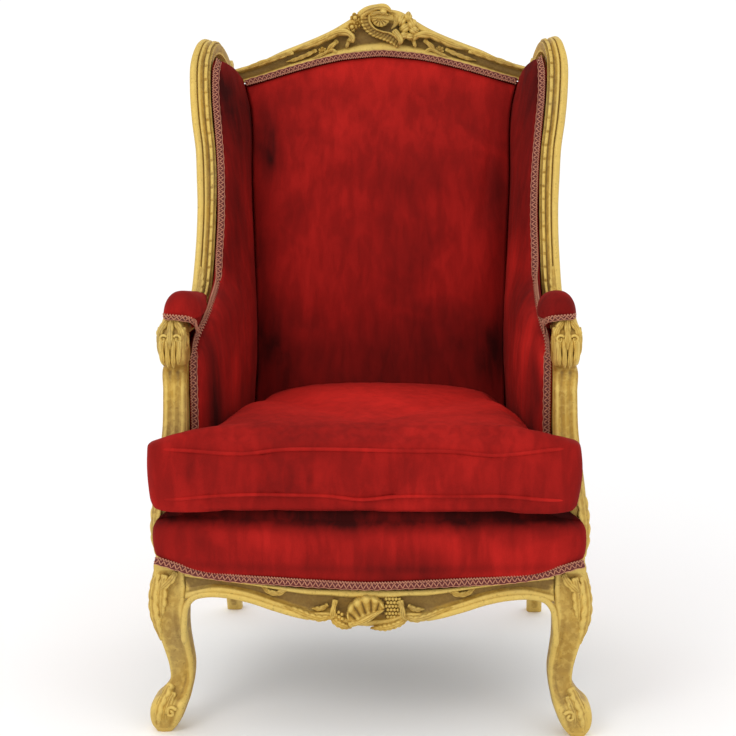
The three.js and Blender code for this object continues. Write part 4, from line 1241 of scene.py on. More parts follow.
# ---- Upholstery ------------------------------------------------------------------------------
@dataclass(frozen=True)
class Mark:
    """A patch that darkens or lightens the velvet, a bell curve round a point: some stand for crushed or raised
    pile, others are painted shade and painted highlights.
    """

    x: float
    z: float
    wide: float
    tall: float
    strength: float
    y: float = 0.0
    use_y: bool = False

    def at(self, points: Array) -> Array:
        """Change of the pile's tone at each point."""
        other = (points[:, 1] - self.y) if self.use_y else (points[:, 2] - self.z)
        return self.strength * np.exp(-(((points[:,
                                                 0] - self.x) / self.wide) ** 2) - (other / self.tall) ** 2)


def brushed_and_painted_light(base: float, marks: Sequence[Mark], seed: int, rough: float = 0.12) -> NapAndPaintedLight:
    """Tone of the pile from an even base, marks and a slow ripple; the marks include painted shade and painted
    highlights.
    """

    def nap_and_painted_light(points: Array) -> Array:
        """Tone at each point, with the marks' painted shade and painted highlights."""
        value = base + sum((mark.at(points) for mark in marks), np.zeros(len(points)))
        value += rough * ripple(points, seed, 260.0) + 0.6 * rough * ripple(points, seed + 1, 110.0)
        return np.clip(value, 0, 1)

    return nap_and_painted_light


@dataclass
class SeatDeck:
    """The fixed seat: a padded border that bulges over the rail, under the loose cushion."""

    top: float = 384.0
    outline: tuple[tuple[float, float], ...] = (
        (0, -47), (120, -45), (220, -37), (296, -29), (326, -25), (340, -19), (344.5, -13), (340, -9.5),
        (318, -9),
        (300, -8.5), (293, -4), (291, 12), (290, 60), (282, 180), (274, 300), (264, 400), (258, 446),
        (246, 454),
        (150, 459), (0, 460))

    def body(self) -> Shape:
        """Stacked rings: the plan outline, swollen at mid height and drawn in towards the top and bottom."""
        half = np.array(self.outline, float)
        loop = np.concatenate((half, half[-2:0:-1] * [-1, 1]))
        closed = Track(tuple(map(tuple, np.concatenate((loop, loop[:1])))))
        plan = closed(np.linspace(0, 1, 401)[:-1])
        levels = np.linspace(0, 1, 30)[:, None]
        front = ease((-plan[:, 1] - 4) / 16)[None, :]
        swell = np.sin(np.pi * np.clip(levels, 0, 1)) ** 0.55
        grow = (8.5 * swell - 2.0 - 16.0 * np.clip((levels - 0.74) / 0.26, 0, 1) ** 2.2) * front
        normal = np.gradient(plan, axis=0)
        normal = unit(np.stack((normal[:, 1], -normal[:, 0]), -1))
        sides = plan[None] + normal[None] * grow[..., None]
        wide = np.abs(plan[:, 0])
        low = np.where(plan[:, 1] < -8, LINES.deck_low(wide) - 3 - 5 * bump(wide, 262, 60), 300.0)
        rim = np.where(plan[:, 1] < -8, 369 - 4 * ease((wide - 300) / 50), 376.0)
        walls = np.concatenate((sides, mix(low[None], rim[None], levels)[..., None]), -1)
        centre = np.array([0.0, 0.0])
        inset = np.linspace(0, 1, 16)[1:-1, None, None]
        lid_plan = centre + (sides[-1][None] - centre) * (1 - inset * 0.96)
        lid_rise = mix(rim[None], self.top, ease(inset[..., 0] / 0.12 + 0.2) ** 0.7)
        lid = np.concatenate((lid_plan, lid_rise[..., None]), -1)
        base = walls[:1] * [0.9, 0.9, 1.0]
        return loft(np.concatenate((base, walls, lid)))

    def build(self, shop: Workshop) -> None:
        """Make the fixed seat."""
        # Painted shadow: the first mark is a dark band along the deck's top front, where the cushion's shadow falls.
        # The last mark darkens a thin band along the deck's lower edge, over the braid.
        marks = [Mark(0, 378, 900, 18, -0.9), Mark(0, 335, 240, 20, 0.10), Mark(-260, 330, 60, 40, -0.14),
                 Mark(250, 325, 70, 30, 0.08), Mark(0, 292, 900, 8, -0.15)]
        piece = shop.piece("seat_deck_padded", self.body(), Slot.VELVET, ["seat_deck"],
                           brushed_and_painted_light(0.46, marks, 11, 0.12))


@dataclass
class SeatCushion:
    """The loose T-shaped cushion: crowned top, boxed sides, a welt along each edge."""

    shift: float = -7.5
    bottom: float = 386.0
    welt: float = 3.2
    outline: tuple[tuple[float, float], ...] = (
        (0, -56), (160, -56), (290, -55), (332, -54), (344, -47), (349, -30), (348, -12), (338, -5),
        (305, -3),
        (289, 0), (281, 10), (278, 40), (268, 130), (254, 240), (242, 340), (232, 410), (224, 436),
        (204, 445),
        (110, 448), (0, 449))

    def plan(self, count: int) -> Array:
        """The closed outline, seen from above."""
        half = np.array(self.outline, float)
        loop = np.concatenate((half, half[-2:0:-1] * [-1, 1]))
        loop[:, 0] += self.shift * ease((60 - loop[:, 1]) / 60)
        closed = Track(tuple(map(tuple, np.concatenate((loop, loop[:1])))))
        return closed(np.linspace(0, 1, count + 1)[:-1])

    def edge_heights(self, plan: Array) -> tuple[Array, Array]:
        """Heights of the lower and upper edges: the lower front edge hangs, the top falls to the back."""
        x, y = plan[:, 0], plan[:, 1]
        front = ease((10 - y) / 40)
        hang = 402 - 3 * np.exp(-((x / 190) ** 2)) + 1.5 * np.sin(x / 43.0)
        low = mix(self.bottom + 8, hang, front)
        back = 488 - 20 * np.abs(x / 235) ** 2.4 - 4 * ease((-x - 120) / 100)
        high = mix(490 - 1.2 * np.sin(x / 70.0), back, ease((y - 190) / 250))
        return low, high

    def body(self) -> Shape:
        """Stacked rings from the middle of the base, up the boxed side, and over the crowned top."""
        plan = self.plan(360)
        low, high = self.edge_heights(plan)
        normal = np.gradient(plan, axis=0)
        normal = unit(np.stack((normal[:, 1], -normal[:, 0]), -1))
        centre = np.array([self.shift * 0.5, 0.0])
        base = mix(self.bottom, self.bottom - 6, ease((10 - plan[:, 1]) / 40))
        creases = 2.2 * ripple(np.column_stack((plan, 0 * low)), 25, 46.0)
        rings = []
        for k in np.concatenate((np.linspace(0.04, 0.95, 14), np.linspace(0.96, 1, 7))):
            spot = centre + (plan - centre) * k
            turn = np.sqrt(1 - np.clip((k - 0.955) / 0.045, 0, 1) ** 2)
            rings.append(np.column_stack((spot, low - (low - base) * turn)))
        for k in np.linspace(0.06, 0.94, 12):
            spot = plan + normal * ((5.0 + creases) * np.sin(np.pi * k))[:, None]
            rings.append(np.column_stack((spot, mix(low, high, k))))
        for k in np.linspace(1, 0.04, 22):
            spot = centre + (plan - centre) * k
            crown = 16 * (1 - k**6)
            rings.append(np.column_stack((spot, mix(485.0, high, k) + crown)))
        return loft(np.array(rings))

    def puff(self, obj: bpy.types.Object) -> None:
        """Swell the cushion with a short cloth simulation, with each point's travel capped.

        Args:
            obj: the cushion, which keeps its place and gets a new, even mesh.
        """
        remesh = obj.modifiers.new("even", "REMESH")
        remesh.mode, remesh.voxel_size = "VOXEL", 0.006
        apply_modifiers(obj)
        start = read_points(obj.data)
        run_cloth(obj, pressure=4.5, frames=20)
        end = read_points(obj.data)
        travel = end - start
        far = np.linalg.norm(travel, axis=1, keepdims=True)
        cap = 0.013
        points = start + travel * np.minimum(1, cap / np.maximum(far, 1e-9))
        write_points(obj.data, self.cleared(points))

    def cleared(self, points: Array) -> Array:
        """Keep the cushion above the seat and clear of the pads and posts, in metres."""
        mm = points / MM - np.array([0.0, ORIGIN_Y, 0.0])
        y = mm[:, 1]
        mm[:, 2] = np.maximum(mm[:, 2], self.bottom - 6 * ease((10 - y) / 40))
        room = np.where(y > 30, Stops(((30, 287), (120, 270), (280, 246), (450, 232)))(y), 344)
        mm[:, 0] = np.clip(mm[:, 0], -room - 14, room)
        mm[:, 1] = np.clip(y, -63, 456)
        return to_metres(mm)

    def welts(self, surface: bpy.types.Object) -> Shape:
        """Piping along both edges, laid on the swollen surface."""
        points, faces = read_points(surface.data), [tuple(p.vertices) for p in surface.data.polygons]
        tree = BVHTree.FromPolygons([Vector(p) for p in points], faces)
        plan = self.plan(300)
        normal = np.gradient(plan, axis=0)
        normal = unit(np.stack((normal[:, 1], -normal[:, 0]), -1))
        tubes = []
        for heights, tilt in zip(self.edge_heights(plan), (-0.35, 0.55)):
            spots = []
            for spot, out, z in zip(plan, normal, heights):
                aim = Vector(to_metres(np.array([spot[0] + out[0] * 30, spot[1] + out[1] * 30,
                                                 z + tilt * 12])))
                near = tree.find_nearest(aim)[0]
                spots.append(np.array(near) / MM - np.array([0.0, ORIGIN_Y, 0.0]))
            loop = np.array(spots)
            for _ in range(24):
                loop = (np.roll(loop, 1, 0) + 2 * loop + np.roll(loop, -1, 0)) / 4
            tubes.append(self._piping(loop))
        return joined(tubes)

    def _piping(self, loop: Array) -> Shape:
        """Round cord carried once round a closed loop, its last ring laid on its first."""
        along = unit(np.roll(loop, -1, 0) - np.roll(loop, 1, 0))
        across = unit(np.cross(np.array([0.0, 0.0, 1.0]), along))
        up = np.cross(along, across)
        angle = np.arange(12) / 12 * 2 * np.pi
        ring = np.cos(angle)[None, :, None] * across[:, None] + np.sin(angle)[None, :, None] * up[:, None]
        rings = loop[:, None] + ring * self.welt
        count = len(loop)
        here = np.arange(count * 12).reshape(count, 12)
        quads = np.stack((here, np.roll(here, -1, 1), np.roll(np.roll(here, -1, 1), -1, 0),
                          np.roll(here, -1, 0)), -1)
        shape = Shape(rings.reshape(-1, 3), quads.reshape(-1, 4), np.zeros((0, 3), int),
                      grid_map(rings).reshape(-1, 2))
        return shape.outward()

    def build(self, shop: Workshop) -> None:
        """Make the cushion and its welts."""
        obj = bpy.data.objects.new("seat_cushion_velvet", mesh_from("seat_cushion_velvet", self.body()))
        bpy.context.scene.collection.objects.link(obj)
        self.puff(obj)
        smooth = obj.modifiers.new("round", "SUBSURF")
        smooth.levels = smooth.render_levels = 1
        apply_modifiers(obj)
        obj.data.polygons.foreach_set("use_smooth", np.ones(len(obj.data.polygons), bool))
        # The last mark is a painted highlight that lightens the top of the cushion; the small marks add a darker
        # patch and narrow darker upright streaks on the left half of its sides.
        marks = [Mark(-180, 450, 120, 60, -0.10), Mark(-120, 430, 14, 30, -0.2),
                 Mark(-280, 455, 8, 24, -0.2),
                 Mark(-90, 440, 6, 14, -0.25), Mark(60, 0, 560, 200, 0.58, 210, True)]
        nap_and_painted_light = brushed_and_painted_light(0.44, marks, 21, 0.09)
        store_value(obj.data, "nap_and_painted_light", nap_and_painted_light(read_points(obj.data) / MM - np.array([0.0, ORIGIN_Y, 0.0])))
        shop.adopt(obj, Slot.VELVET, ["seat_cushion"])
        # Painted highlight: the welts get a lighter base tone than the cushion, for light along the rounded piping.
        shop.piece("seat_cushion_welts", self.welts(obj), Slot.VELVET, [], brushed_and_painted_light(0.66, [], 22, 0.1))


def apply_modifiers(obj: bpy.types.Object) -> None:
    """Replace the object's mesh by what its modifiers make of it."""
    graph = bpy.context.evaluated_depsgraph_get()
    mesh = bpy.data.meshes.new_from_object(obj.evaluated_get(graph))
    obj.modifiers.clear()
    obj.data = mesh


def run_cloth(obj: bpy.types.Object, pressure: float, frames: int) -> None:
    """Let a closed mesh swell as cloth under pressure, with no gravity, and keep the result.

    Args:
        obj: the closed mesh.
        pressure: pressure inside it.
        frames: how many frames to run.
    """
    cloth = obj.modifiers.new("swell", "CLOTH")
    settings = cloth.settings
    settings.quality = 5
    settings.mass = 0.3
    settings.use_pressure = True
    settings.uniform_pressure_force = pressure
    settings.tension_stiffness = settings.compression_stiffness = 18
    settings.shear_stiffness = 8
    settings.bending_stiffness = 0.6
    settings.effector_weights.gravity = 0
    cloth.point_cache.frame_start, cloth.point_cache.frame_end = 1, frames
    for number in range(1, frames + 1):
        bpy.context.scene.frame_set(number)
    apply_modifiers(obj)
    bpy.context.scene.frame_set(1)


@dataclass
class InsideBack:
    """The padded inside of the back."""

    low: float = 386.0
    half: Stops = Stops(((386, 236), (550, 234), (718, 237), (868, 243), (1000, 246), (1055, 259)))

    def body(self) -> Shape:
        """Grid over the back: crowned towards the sitter, with faint pull lines from the corners."""
        u = np.linspace(-1, 1, 100)[None, :]
        v = np.linspace(0, 1, 120)[:, None]
        top = LINES.crest_low(np.abs(u) * 262) - 9
        z = mix(self.low, top, v)
        x = u * self.half(np.minimum(z, 1055))
        flat = LINES.back_face(z) + LINES.crest_bow(x) * ease((z - 900) / 150)
        edge = np.clip(np.minimum((1 - np.abs(u)) * 4.5, (1 - v) * 9), 0, 1)
        crown = 3 + 23 * (1 - np.abs(u) ** 4.5) * np.sin(np.pi * np.clip(0.14 + 0.86 * v, 0, 1)) ** 0.55
        rounded = np.sqrt(1 - (1 - edge) ** 2)
        place = np.stack((x, 0 * z, z), -1)
        pulls = 1.1 * ripple(place * [0.25, 1, 1], 31, 95.0) * rounded + 0.8 * ripple(place * [1, 1, 0.3],
                                                                                      32, 60.0)
        crease = -2.6 * np.exp(-(((x + 197 + 0.10 * (z - 950)) / 5.0) ** 2)) * bump(z, 955, 90)
        pull = -1.6 * np.exp(-(((x - 205 - 0.12 * (z - 900)) / 5.0) ** 2)) * bump(z, 900, 120)
        lift = crown * mix(0.35, 1, rounded) + pulls + crease + pull
        face = np.stack((x, flat - lift, z + 0 * x), -1)
        back = np.stack((x, flat + 20 + 0 * x, z + 0 * x), -1)
        return slab(face, back)

    def build(self, shop: Workshop) -> None:
        """Make the inside back."""
        # Painted shade: a narrow dark line beside the crease at the left, and darker strips down both side edges, in
        # the corners by the wings. The other marks lighten the top, make the back darker towards the bottom, and add
        # patches and a thin dark line.
        marks = [Mark(-20, 1075, 300, 40, 0.16), Mark(-206, 930, 9, 45, -0.4),
                 Mark(-225, 940, 28, 60, -0.35),
                 Mark(-235, 760, 30, 90, -0.22), Mark(-228, 560, 60, 170, -0.2),
                 Mark(0, 800, 500, 130, -0.10),
                 Mark(0, 530, 500, 130, -0.36), Mark(80, 700, 60, 30, -0.10), Mark(130, 700, 60, 60, 0.10),
                 Mark(112, 850, 5, 40, -0.2), Mark(228, 800, 24, 260, -0.24), Mark(-130, 860, 70, 50, 0.05)]
        piece = shop.piece("inside_back_padded", self.body(), Slot.VELVET, ["inside_back"],
                           brushed_and_painted_light(0.58, marks, 33, 0.10))


@dataclass
class Sides:
    """The padded insides of the arms and wings, and the covers on their outsides."""

    front: tuple[tuple[float, float, float], ...] = (
        (66, 386, 288), (66, 480, 288), (67, 550, 288), (78, 606, 289), (117, 633, 290), (177, 657, 284),
        (252, 680, 282), (330, 706, 282.5), (365, 756, 282.5), (389, 808, 281.5), (411, 860, 283),
        (432, 912, 286),
        (451, 970, 291.5), (467, 1026, 297), (484, 1072, 297.5), (504, 1092, 296))
    rear: tuple[float, ...] = (386, 470, 530, 576, 604, 628, 655, 694, 746, 798, 848, 898, 954, 1004, 1040,
                               1056)
    rear_x: Stops = Stops(((386, 242), (475, 240), (550, 236), (718, 240), (868, 246), (1000, 249),
                           (1056, 262)))

    def point(self, u: Any, v: Any) -> tuple[Array, Array, Array, Array]:
        """Point of the inside, u along its front edge and v from there to the back corner, and the edge's x."""
        at = np.asarray(u, float) * (len(self.front) - 1)
        number = range(len(self.front))
        edge = [Stops(tuple(zip(number, column)))(at) for column in zip(*self.front)]
        rear_z = Stops(tuple(zip(number, self.rear)))(at)
        rear_y = LINES.back_face(rear_z) - 2.5
        x, y, z = (mix(a, b, v) for a, b in zip((edge[2], edge[0], edge[1]),
                                                (self.rear_x(rear_z), rear_y, rear_z)))
        return x, y, z, edge[2] + 0 * np.asarray(v)

    def inside(self) -> Shape:
        """Grid over the inside, swollen most at arm height, rounded along the front edge."""
        u = np.linspace(0, 1, 120)[:, None]
        v = (np.linspace(0, 1, 70) ** 1.6)[None, :]
        x, y, z, edge_x = self.point(u, v)
        arm = 1 - ease((z - 620) / 170)
        swell = np.sin(np.pi * np.clip(v, 0, 1)) ** mix(0.6, 0.42, arm)
        place = np.stack((0 * x, y, z), -1)
        folds = 1.3 * ripple(place, 41, 120.0) * swell + 0.6 * ripple(place, 42, 48.0) * swell
        away = np.hypot(y - y[:, :1], z - z[:, :1])
        turn = np.sqrt(1 - (1 - np.clip(away / 9, 0, 1)) ** 2)
        bulge = 12 * mix(0.4, 1, arm) * swell + folds + mix(-5, 7 * (1 - ease((v - 0.2) / 0.8)), turn)
        face = np.stack((x - bulge, y, z), -1)
        back = np.stack((mix(edge_x + 7, np.maximum(x + 14, 294), ease((v - 0.14) / 0.12)), y, z), -1)
        return slab(face, back)

    def outside_arm(self) -> Shape:
        """Gently bulging cover between the post, the arm rail, the seat rail and the back leg."""
        v = np.linspace(0, 1, 44)[None, :]
        u = np.linspace(0, 1, 44)[:, None]
        z = mix(283, 634, u)
        front = ArmFrames().back(np.minimum(z, 600)) + 5
        y = mix(front, LINES.stile_front(z) - 5, v)
        x = mix(mix(340, 326, ease(u * 2)), 317, v)
        round_edge = np.sqrt(np.clip(np.sin(np.pi * u) * np.sin(np.pi * v), 0, 1))
        lift = 6 * round_edge + 0.7 * ripple(np.stack((0 * x, y, z + 0 * x), -1), 51, 110.0) * round_edge
        return slab(np.stack((x + lift, y, z + 0 * x), -1), np.stack((x - 8, y, z + 0 * x), -1))

    def outside_wing(self) -> Shape:
        """Gently bulging cover between the wing's moulding and the back post."""
        front = ((332, 645), (352, 674), (374, 718), (400, 781), (422, 830), (442, 880), (459, 930),
                 (475, 984),
                 (489, 1044), (506, 1084), (526, 1100), (548, 1103), (570, 1094))
        rear = (645, 674, 700, 756, 810, 858, 904, 950, 996, 1036, 1054, 1068, 1076)
        number = range(len(front))
        u = np.linspace(0, 1, 80)[:, None]
        v = np.linspace(0, 1, 30)[None, :]
        at = u * (len(front) - 1)
        edge_y, edge_z = (Stops(tuple(zip(number, column)))(at) for column in zip(*front))
        rear_z = Stops(tuple(zip(number, rear)))(at)
        edge_x = Stops(((642, 322), (781, 318), (930, 324), (1040, 334), (1100, 322)))(edge_z)
        x, y, z = mix(edge_x, 319, v), mix(edge_y, LINES.back_face(rear_z) - 1.5, v), mix(edge_z, rear_z, v)
        lift = 4.5 * np.sqrt(np.clip(np.sin(np.pi * u) * np.sin(np.pi * v), 0, 1))
        return slab(np.stack((x + lift, y, z), -1), np.stack((x - 8, y, z), -1))

    def outside_back(self) -> Shape:
        """Cover over the back of the back, slightly crowned."""
        edge = 303 - 19 - 1.5
        u = np.linspace(-1, 1, 64)[None, :]
        v = np.linspace(0, 1, 84)[:, None]
        x = u * edge
        z = mix(278, LINES.crest_low(np.abs(x)) - 2, v)
        flat = LINES.back_face(z) + LINES.crest_bow(x) * ease((z - 900) / 150)
        place = np.stack((x + 0 * z, 0 * z, z), -1)
        round_edge = np.sqrt(np.clip((1 - u**4) * np.sin(np.pi * v) ** 0.7, 0, 1))
        lift = 6 * round_edge + 0.8 * ripple(place, 61, 140.0) * round_edge
        face = np.stack((x + 0 * z, flat + 36 + lift - 3, z), -1)
        back = np.stack((x + 0 * z, flat + 27, z), -1)
        return slab(face, back)

    def build(self, shop: Workshop) -> None:
        """Make the insides of the wings and all the outside covers."""
        # Painted shade and light on the insides of the wings and arms: the first two marks are painted shade that
        # darkens the upper wings; the bright marks at x 262 and 282 are a painted highlight down the front edge at
        # arm height, and the narrow dark marks beside them are painted shade in its creases. The other marks make
        # the velvet darker low down by the seat, darker in a band 130 mm back, and lighter in a thin band at 720 mm.
        marks = [Mark(0, 1020, 900, 110, -0.46), Mark(0, 850, 900, 70, -0.16),
                 Mark(250, 440, 300, 60, -0.16),
                 Mark(285, 720, 200, 16, 0.12), Mark(0, 530, 900, 34, -0.3, 130, True),
                 Mark(282, 610, 30, 40, 0.30),
                 Mark(262, 560, 14, 90, 0.22), Mark(275, 545, 9, 30, -0.45), Mark(270, 585, 6, 28, -0.4)]
        for side, piece in zip((1, -1), shop.pair("inside_wing_padded", self.inside(), Slot.VELVET,
                                                  "inside_wing",
                                                  brushed_and_painted_light(0.50, marks, 43, 0.18))):
            LOG.info("side %d padded", side)
        for name, shape, node in (("outside_arm_cover", self.outside_arm(), "outside_arm"),
                                  ("outside_wing_cover", self.outside_wing(), "outside_wing")):
            for piece in shop.pair(name, shape, Slot.VELVET, node, brushed_and_painted_light(0.56, [], 53, 0.12)):
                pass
        back = shop.piece("outside_back_cover", self.outside_back(), Slot.VELVET, ["outside_back"],
                          brushed_and_painted_light(0.56, [], 63, 0.12))


@dataclass
class ArmPads:
    """Domed pads on the arm rails."""

    base: float = 681.5
    top: float = 725.0
    outer: float = 332.0
    inner: Stops = Stops(((26, 276), (50, 272), (150, 276), (220, 287), (280, 295)))
    skirt_low: Stops = Stops(((38, 680), (60, 671), (100, 656), (150, 658), (190, 669), (225, 680)))

    def body(self) -> Shape:
        """Rings along the arm: a flattened half round, drawn in at both ends and lower towards the back."""
        t = np.concatenate((np.linspace(0, 0.14, 30), np.linspace(0.15, 0.9, 70),
                            np.linspace(0.91, 1, 14)))[:, None]
        angle = np.linspace(0, np.pi, 60)[None, :]
        nose = np.sqrt(np.clip(1 - (1 - np.minimum(1, t / 0.13)) ** 2, 0, 1))
        along = mix(26, 280, t)
        middle = (self.outer + self.inner(along)) / 2
        width = (self.outer - self.inner(along)) / 2 * mix(0.62, 1, nose)
        high = (self.top - self.base - 0.14 * np.maximum(0, along - 45)) * mix(0.3, 1, nose)
        c = np.cos(angle)
        x = middle + width * np.sign(c) * np.abs(c) ** 0.88
        y = along + 0 * x
        z = self.base + high * np.sin(angle) ** 0.9
        z = z + 0.8 * ripple(np.stack((x, y, z), -1), 71, 60.0) * np.sin(angle)
        return loft(np.stack((x, y, np.maximum(z, self.base)), -1))

    def skirt(self) -> Shape:
        """The velvet that runs down from the pad's inner edge to the padded inside of the arm."""
        y = np.linspace(34, 225, 60)[None, :]
        v = np.linspace(0, 1, 20)[:, None]
        low = self.skirt_low(y)
        z = mix(low, 692, v)
        x = mix(288.0, self.inner(y) + 2.5, ease(v)) - 1.5 * np.sin(np.pi * v)
        return slab(np.stack((x, y + 0 * z, z), -1), np.stack((mix(292.0, self.inner(y) + 14, v), y + 0 * z,
                                                               z), -1))

    def build(self, shop: Workshop) -> None:
        """Make both arm pads."""
        shape = joined([self.body(), self.skirt()])
        for piece in shop.pair("arm_pad_velvet", shape, Slot.VELVET, "arm_pad", brushed_and_painted_light(0.42, [], 73, 0.16)):
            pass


# ---- Braid -----------------------------------------------------------------------------------
@dataclass(frozen=True)
class Carried:
    """Directions given at the stops of a path and carried along it by the path's own length."""

    path: Array
    ways: Array

    def __call__(self, t: Any) -> Array:
        """Direction at t."""
        along = np.concatenate(([0.0], np.cumsum(np.linalg.norm(np.diff(self.path, axis=0), axis=1))))
        along /= along[-1]
        return np.stack([np.interp(t, along, column) for column in self.ways.T], axis=-1)


@dataclass
class Gimp:
    """Gimp braid: a flat tape, a zigzag cord on one side, and a row of slanting loops along the other."""

    name: str
    track: Track
    out: Callable[[Array], Array]
    length: float
    nodes: tuple[str, ...]
    width: float = 16.0
    flip: float = 1.0

    def axes(self, t: Array) -> tuple[Array, Array, Array]:
        """Point, sideways direction and outward direction of the tape at t."""
        along = self.track.along(t)
        out = unit(self.out(t))
        across = unit(np.cross(out, along)) * self.flip
        return self.track(t), across, out

    def cord(self, aside: Callable[[Array], Array], high: Callable[[Array], Array], radius: float,
             steps: int) -> Shape:
        """Thin cord whose sideways place and height on the tape are functions of the run in millimetres."""
        t = np.linspace(0, 1, steps)
        at, across, out = self.axes(t)
        run = t * self.length
        line = at + across * aside(run)[:, None] + out * high(run)[:, None]
        along = unit(np.gradient(line, axis=0))
        side = unit(np.cross(out, along))
        up = np.cross(along, side)
        angle = np.arange(5) / 5 * 2 * np.pi
        ring = np.cos(angle)[None, :, None] * side[:, None] + np.sin(angle)[None, :, None] * up[:, None]
        return loft(line[:, None] + ring * radius)

    def tape(self) -> Shape:
        """Flat tape under the cords."""
        t = np.linspace(0, 1, max(24, int(self.length / 6)))
        at, across, out = self.axes(t)
        section = np.array([(-1.0, -0.2), (-1.0, 0.5), (-0.8, 1.0), (0.8, 1.0), (1.0, 0.5), (1.0, -0.2)])
        half = self.width / 2 - 0.8
        rings = (at[:, None] + across[:, None] * (section[:, :1] * half)[None]
                 + out[:, None] * (section[:, 1:])[None])
        return loft(rings)

    def build(self, shop: Workshop, dark: bpy.types.Material) -> None:
        """Make the braid: the tape and cords as one piece, the tape in its own darker thread."""
        half = self.width / 2
        zig = self.length / round(self.length / 9.0)
        loop = self.length / round(self.length / 4.6)
        wave = lambda run: half * 0.12 + half * 0.62 * np.arcsin(np.sin(2 * np.pi * run / zig)) / (np.pi / 2) * 0.9
        over = lambda run: 2.0 + 0.5 * np.cos(2 * np.pi * run / zig)
        slant = lambda run: -half * 0.72 + 1.7 * np.sin(2 * np.pi * run / loop)
        lift = lambda run: 1.9 + 0.9 * np.cos(2 * np.pi * run / loop)
        edge = lambda run: half * 0.86 + 0.6 * np.sin(2 * np.pi * run / zig)
        cords = [
            self.cord(wave, over, 0.95, int(self.length / zig * 6)),
            self.cord(slant, lift, 0.95, int(self.length / loop * 5)),
            self.cord(edge, lambda run: 1.5 + 0 * run, 0.6, int(self.length / 6)),
        ]
        tape = self.tape()
        piece = shop.piece(self.name, joined([*cords, tape]), Slot.BRAID, self.nodes)
        piece.data.materials.append(dark)
        quads = sum(len(cord.quads) for cord in cords)
        index = np.zeros(len(piece.data.polygons), np.int32)
        index[quads:quads + len(tape.quads)] = 1
        piece.data.polygons.foreach_set("material_index", index)


@dataclass
class Braids:
    """All the braid on the chair."""

    dark: bpy.types.Material

    def build(self, shop: Workshop) -> None:
        """Make the braid on the seat, the crest and the wings."""
        for gimp in [self.seat_front(), self.crest(), *self.pairs()]:
            gimp.build(shop, self.dark)

    def seat_front(self) -> Gimp:
        """Braid along the lower edge of the seat's front border."""
        x = np.array([-344, -330, -310, -280, -220, -150, -75, 0, 75, 150, 220, 280, 310, 330, 344], float)
        y = LINES.rail_front(np.minimum(299, np.abs(x))) - 3.0 - ease((np.abs(x) - 285) / 20) * 3.0
        z = LINES.deck_low(np.abs(x)) - 6.5 - 5.0 * bump(np.abs(x), 262, 60)
        stops = tuple(map(tuple, np.stack((x, y, z), -1)))
        return Gimp("braid_seat_front_gimp", Track(stops), lambda t: np.array([[0.0, -1.0,
                                                                                0.15]]) + 0 * t[:, None],
                    702.0, ("braid_seat_front",), width=13.5, flip=-1.0)

    def crest(self) -> Gimp:
        """Braid under the crest rail."""
        x = np.linspace(-258, 258, 15)
        z = LINES.crest_low(np.abs(x)) - 1.5
        stops = tuple(map(tuple, LINES.crest_point(x, z, 5.0)))
        return Gimp("braid_crest_gimp", Track(stops), lambda t: np.array([[0.0, -1.0,
                                                                           0.19]]) + 0 * t[:, None],
                    540.0, ("braid_crest",), width=12.0, flip=1.0)

    def pairs(self) -> list[Gimp]:
        """Braid on the sides of the seat and round the insides of the wings, on both sides."""
        sides = Sides()
        number = len(sides.front) - 1
        u = np.linspace(0.3 / number, 1, 60)
        x, y, z, _ = sides.point(u, 0.0)
        ahead, behind = sides.point(np.minimum(u + 0.015, 1), 0.0), sides.point(u - 0.015, 0.0)
        run = unit(np.stack((ahead[1] - behind[1], ahead[2] - behind[2]), -1))
        wing = np.stack((x - 0.5, y - run[:, 1] * 0.8, z + run[:, 0] * 0.8), -1)
        inward = 0.1 + 1.1 * ease((run[:, 0] - 0.45) / 0.4)
        wing_out = np.stack((-inward, -run[:, 1], run[:, 0]), -1)
        t = np.linspace(0, 1, 6)
        seat = np.stack((mix(350.2, 326.5, t), mix(56, 455, t), mix(290, 288, t)), -1)
        seat_out = np.array([[1.0, 0.0, 0.0]]) + 0 * seat
        arm = np.array([(328, 40, 685), (325, 29, 685), (316, 24, 685), (304, 22.5, 684), (294, 23.5, 683),
                        (286, 28, 680), (281, 40, 674), (283, 64, 664), (286, 92, 654), (287, 116, 647)],
                        float)
        arm_out = np.array([(1, -0.6, 0), (0.7, -0.8, 0), (0.3, -1, 0), (0, -1, 0), (-0.2, -1, 0),
                            (-0.6, -1, 0),
                            (-1, -0.7, 0.1), (-1, -0.4, 0.1), (-1, -0.3, 0), (-1, -0.2, 0)], float)
        gimps = []
        for side, sign in (("right", 1.0), ("left", -1.0)):
            for name, path, outs, width in (("wing", wing, wing_out, 12.5),
                                            ("seat_side", seat, seat_out, 16.0),
                                            ("arm", arm, arm_out, 9.0)):
                turn = np.array([sign, 1.0, 1.0])
                ways = Carried(path * turn, outs * turn)
                length = float(np.linalg.norm(np.diff(path, axis=0), axis=1).sum())
                nodes = () if name == "arm" else (f"braid_{name}_{side}",)
                gimps.append(Gimp(f"braid_{name}_{side}_gimp", Track(tuple(map(tuple, path * turn))), ways,
                                  length,
                                  nodes, width, sign))
        return gimps


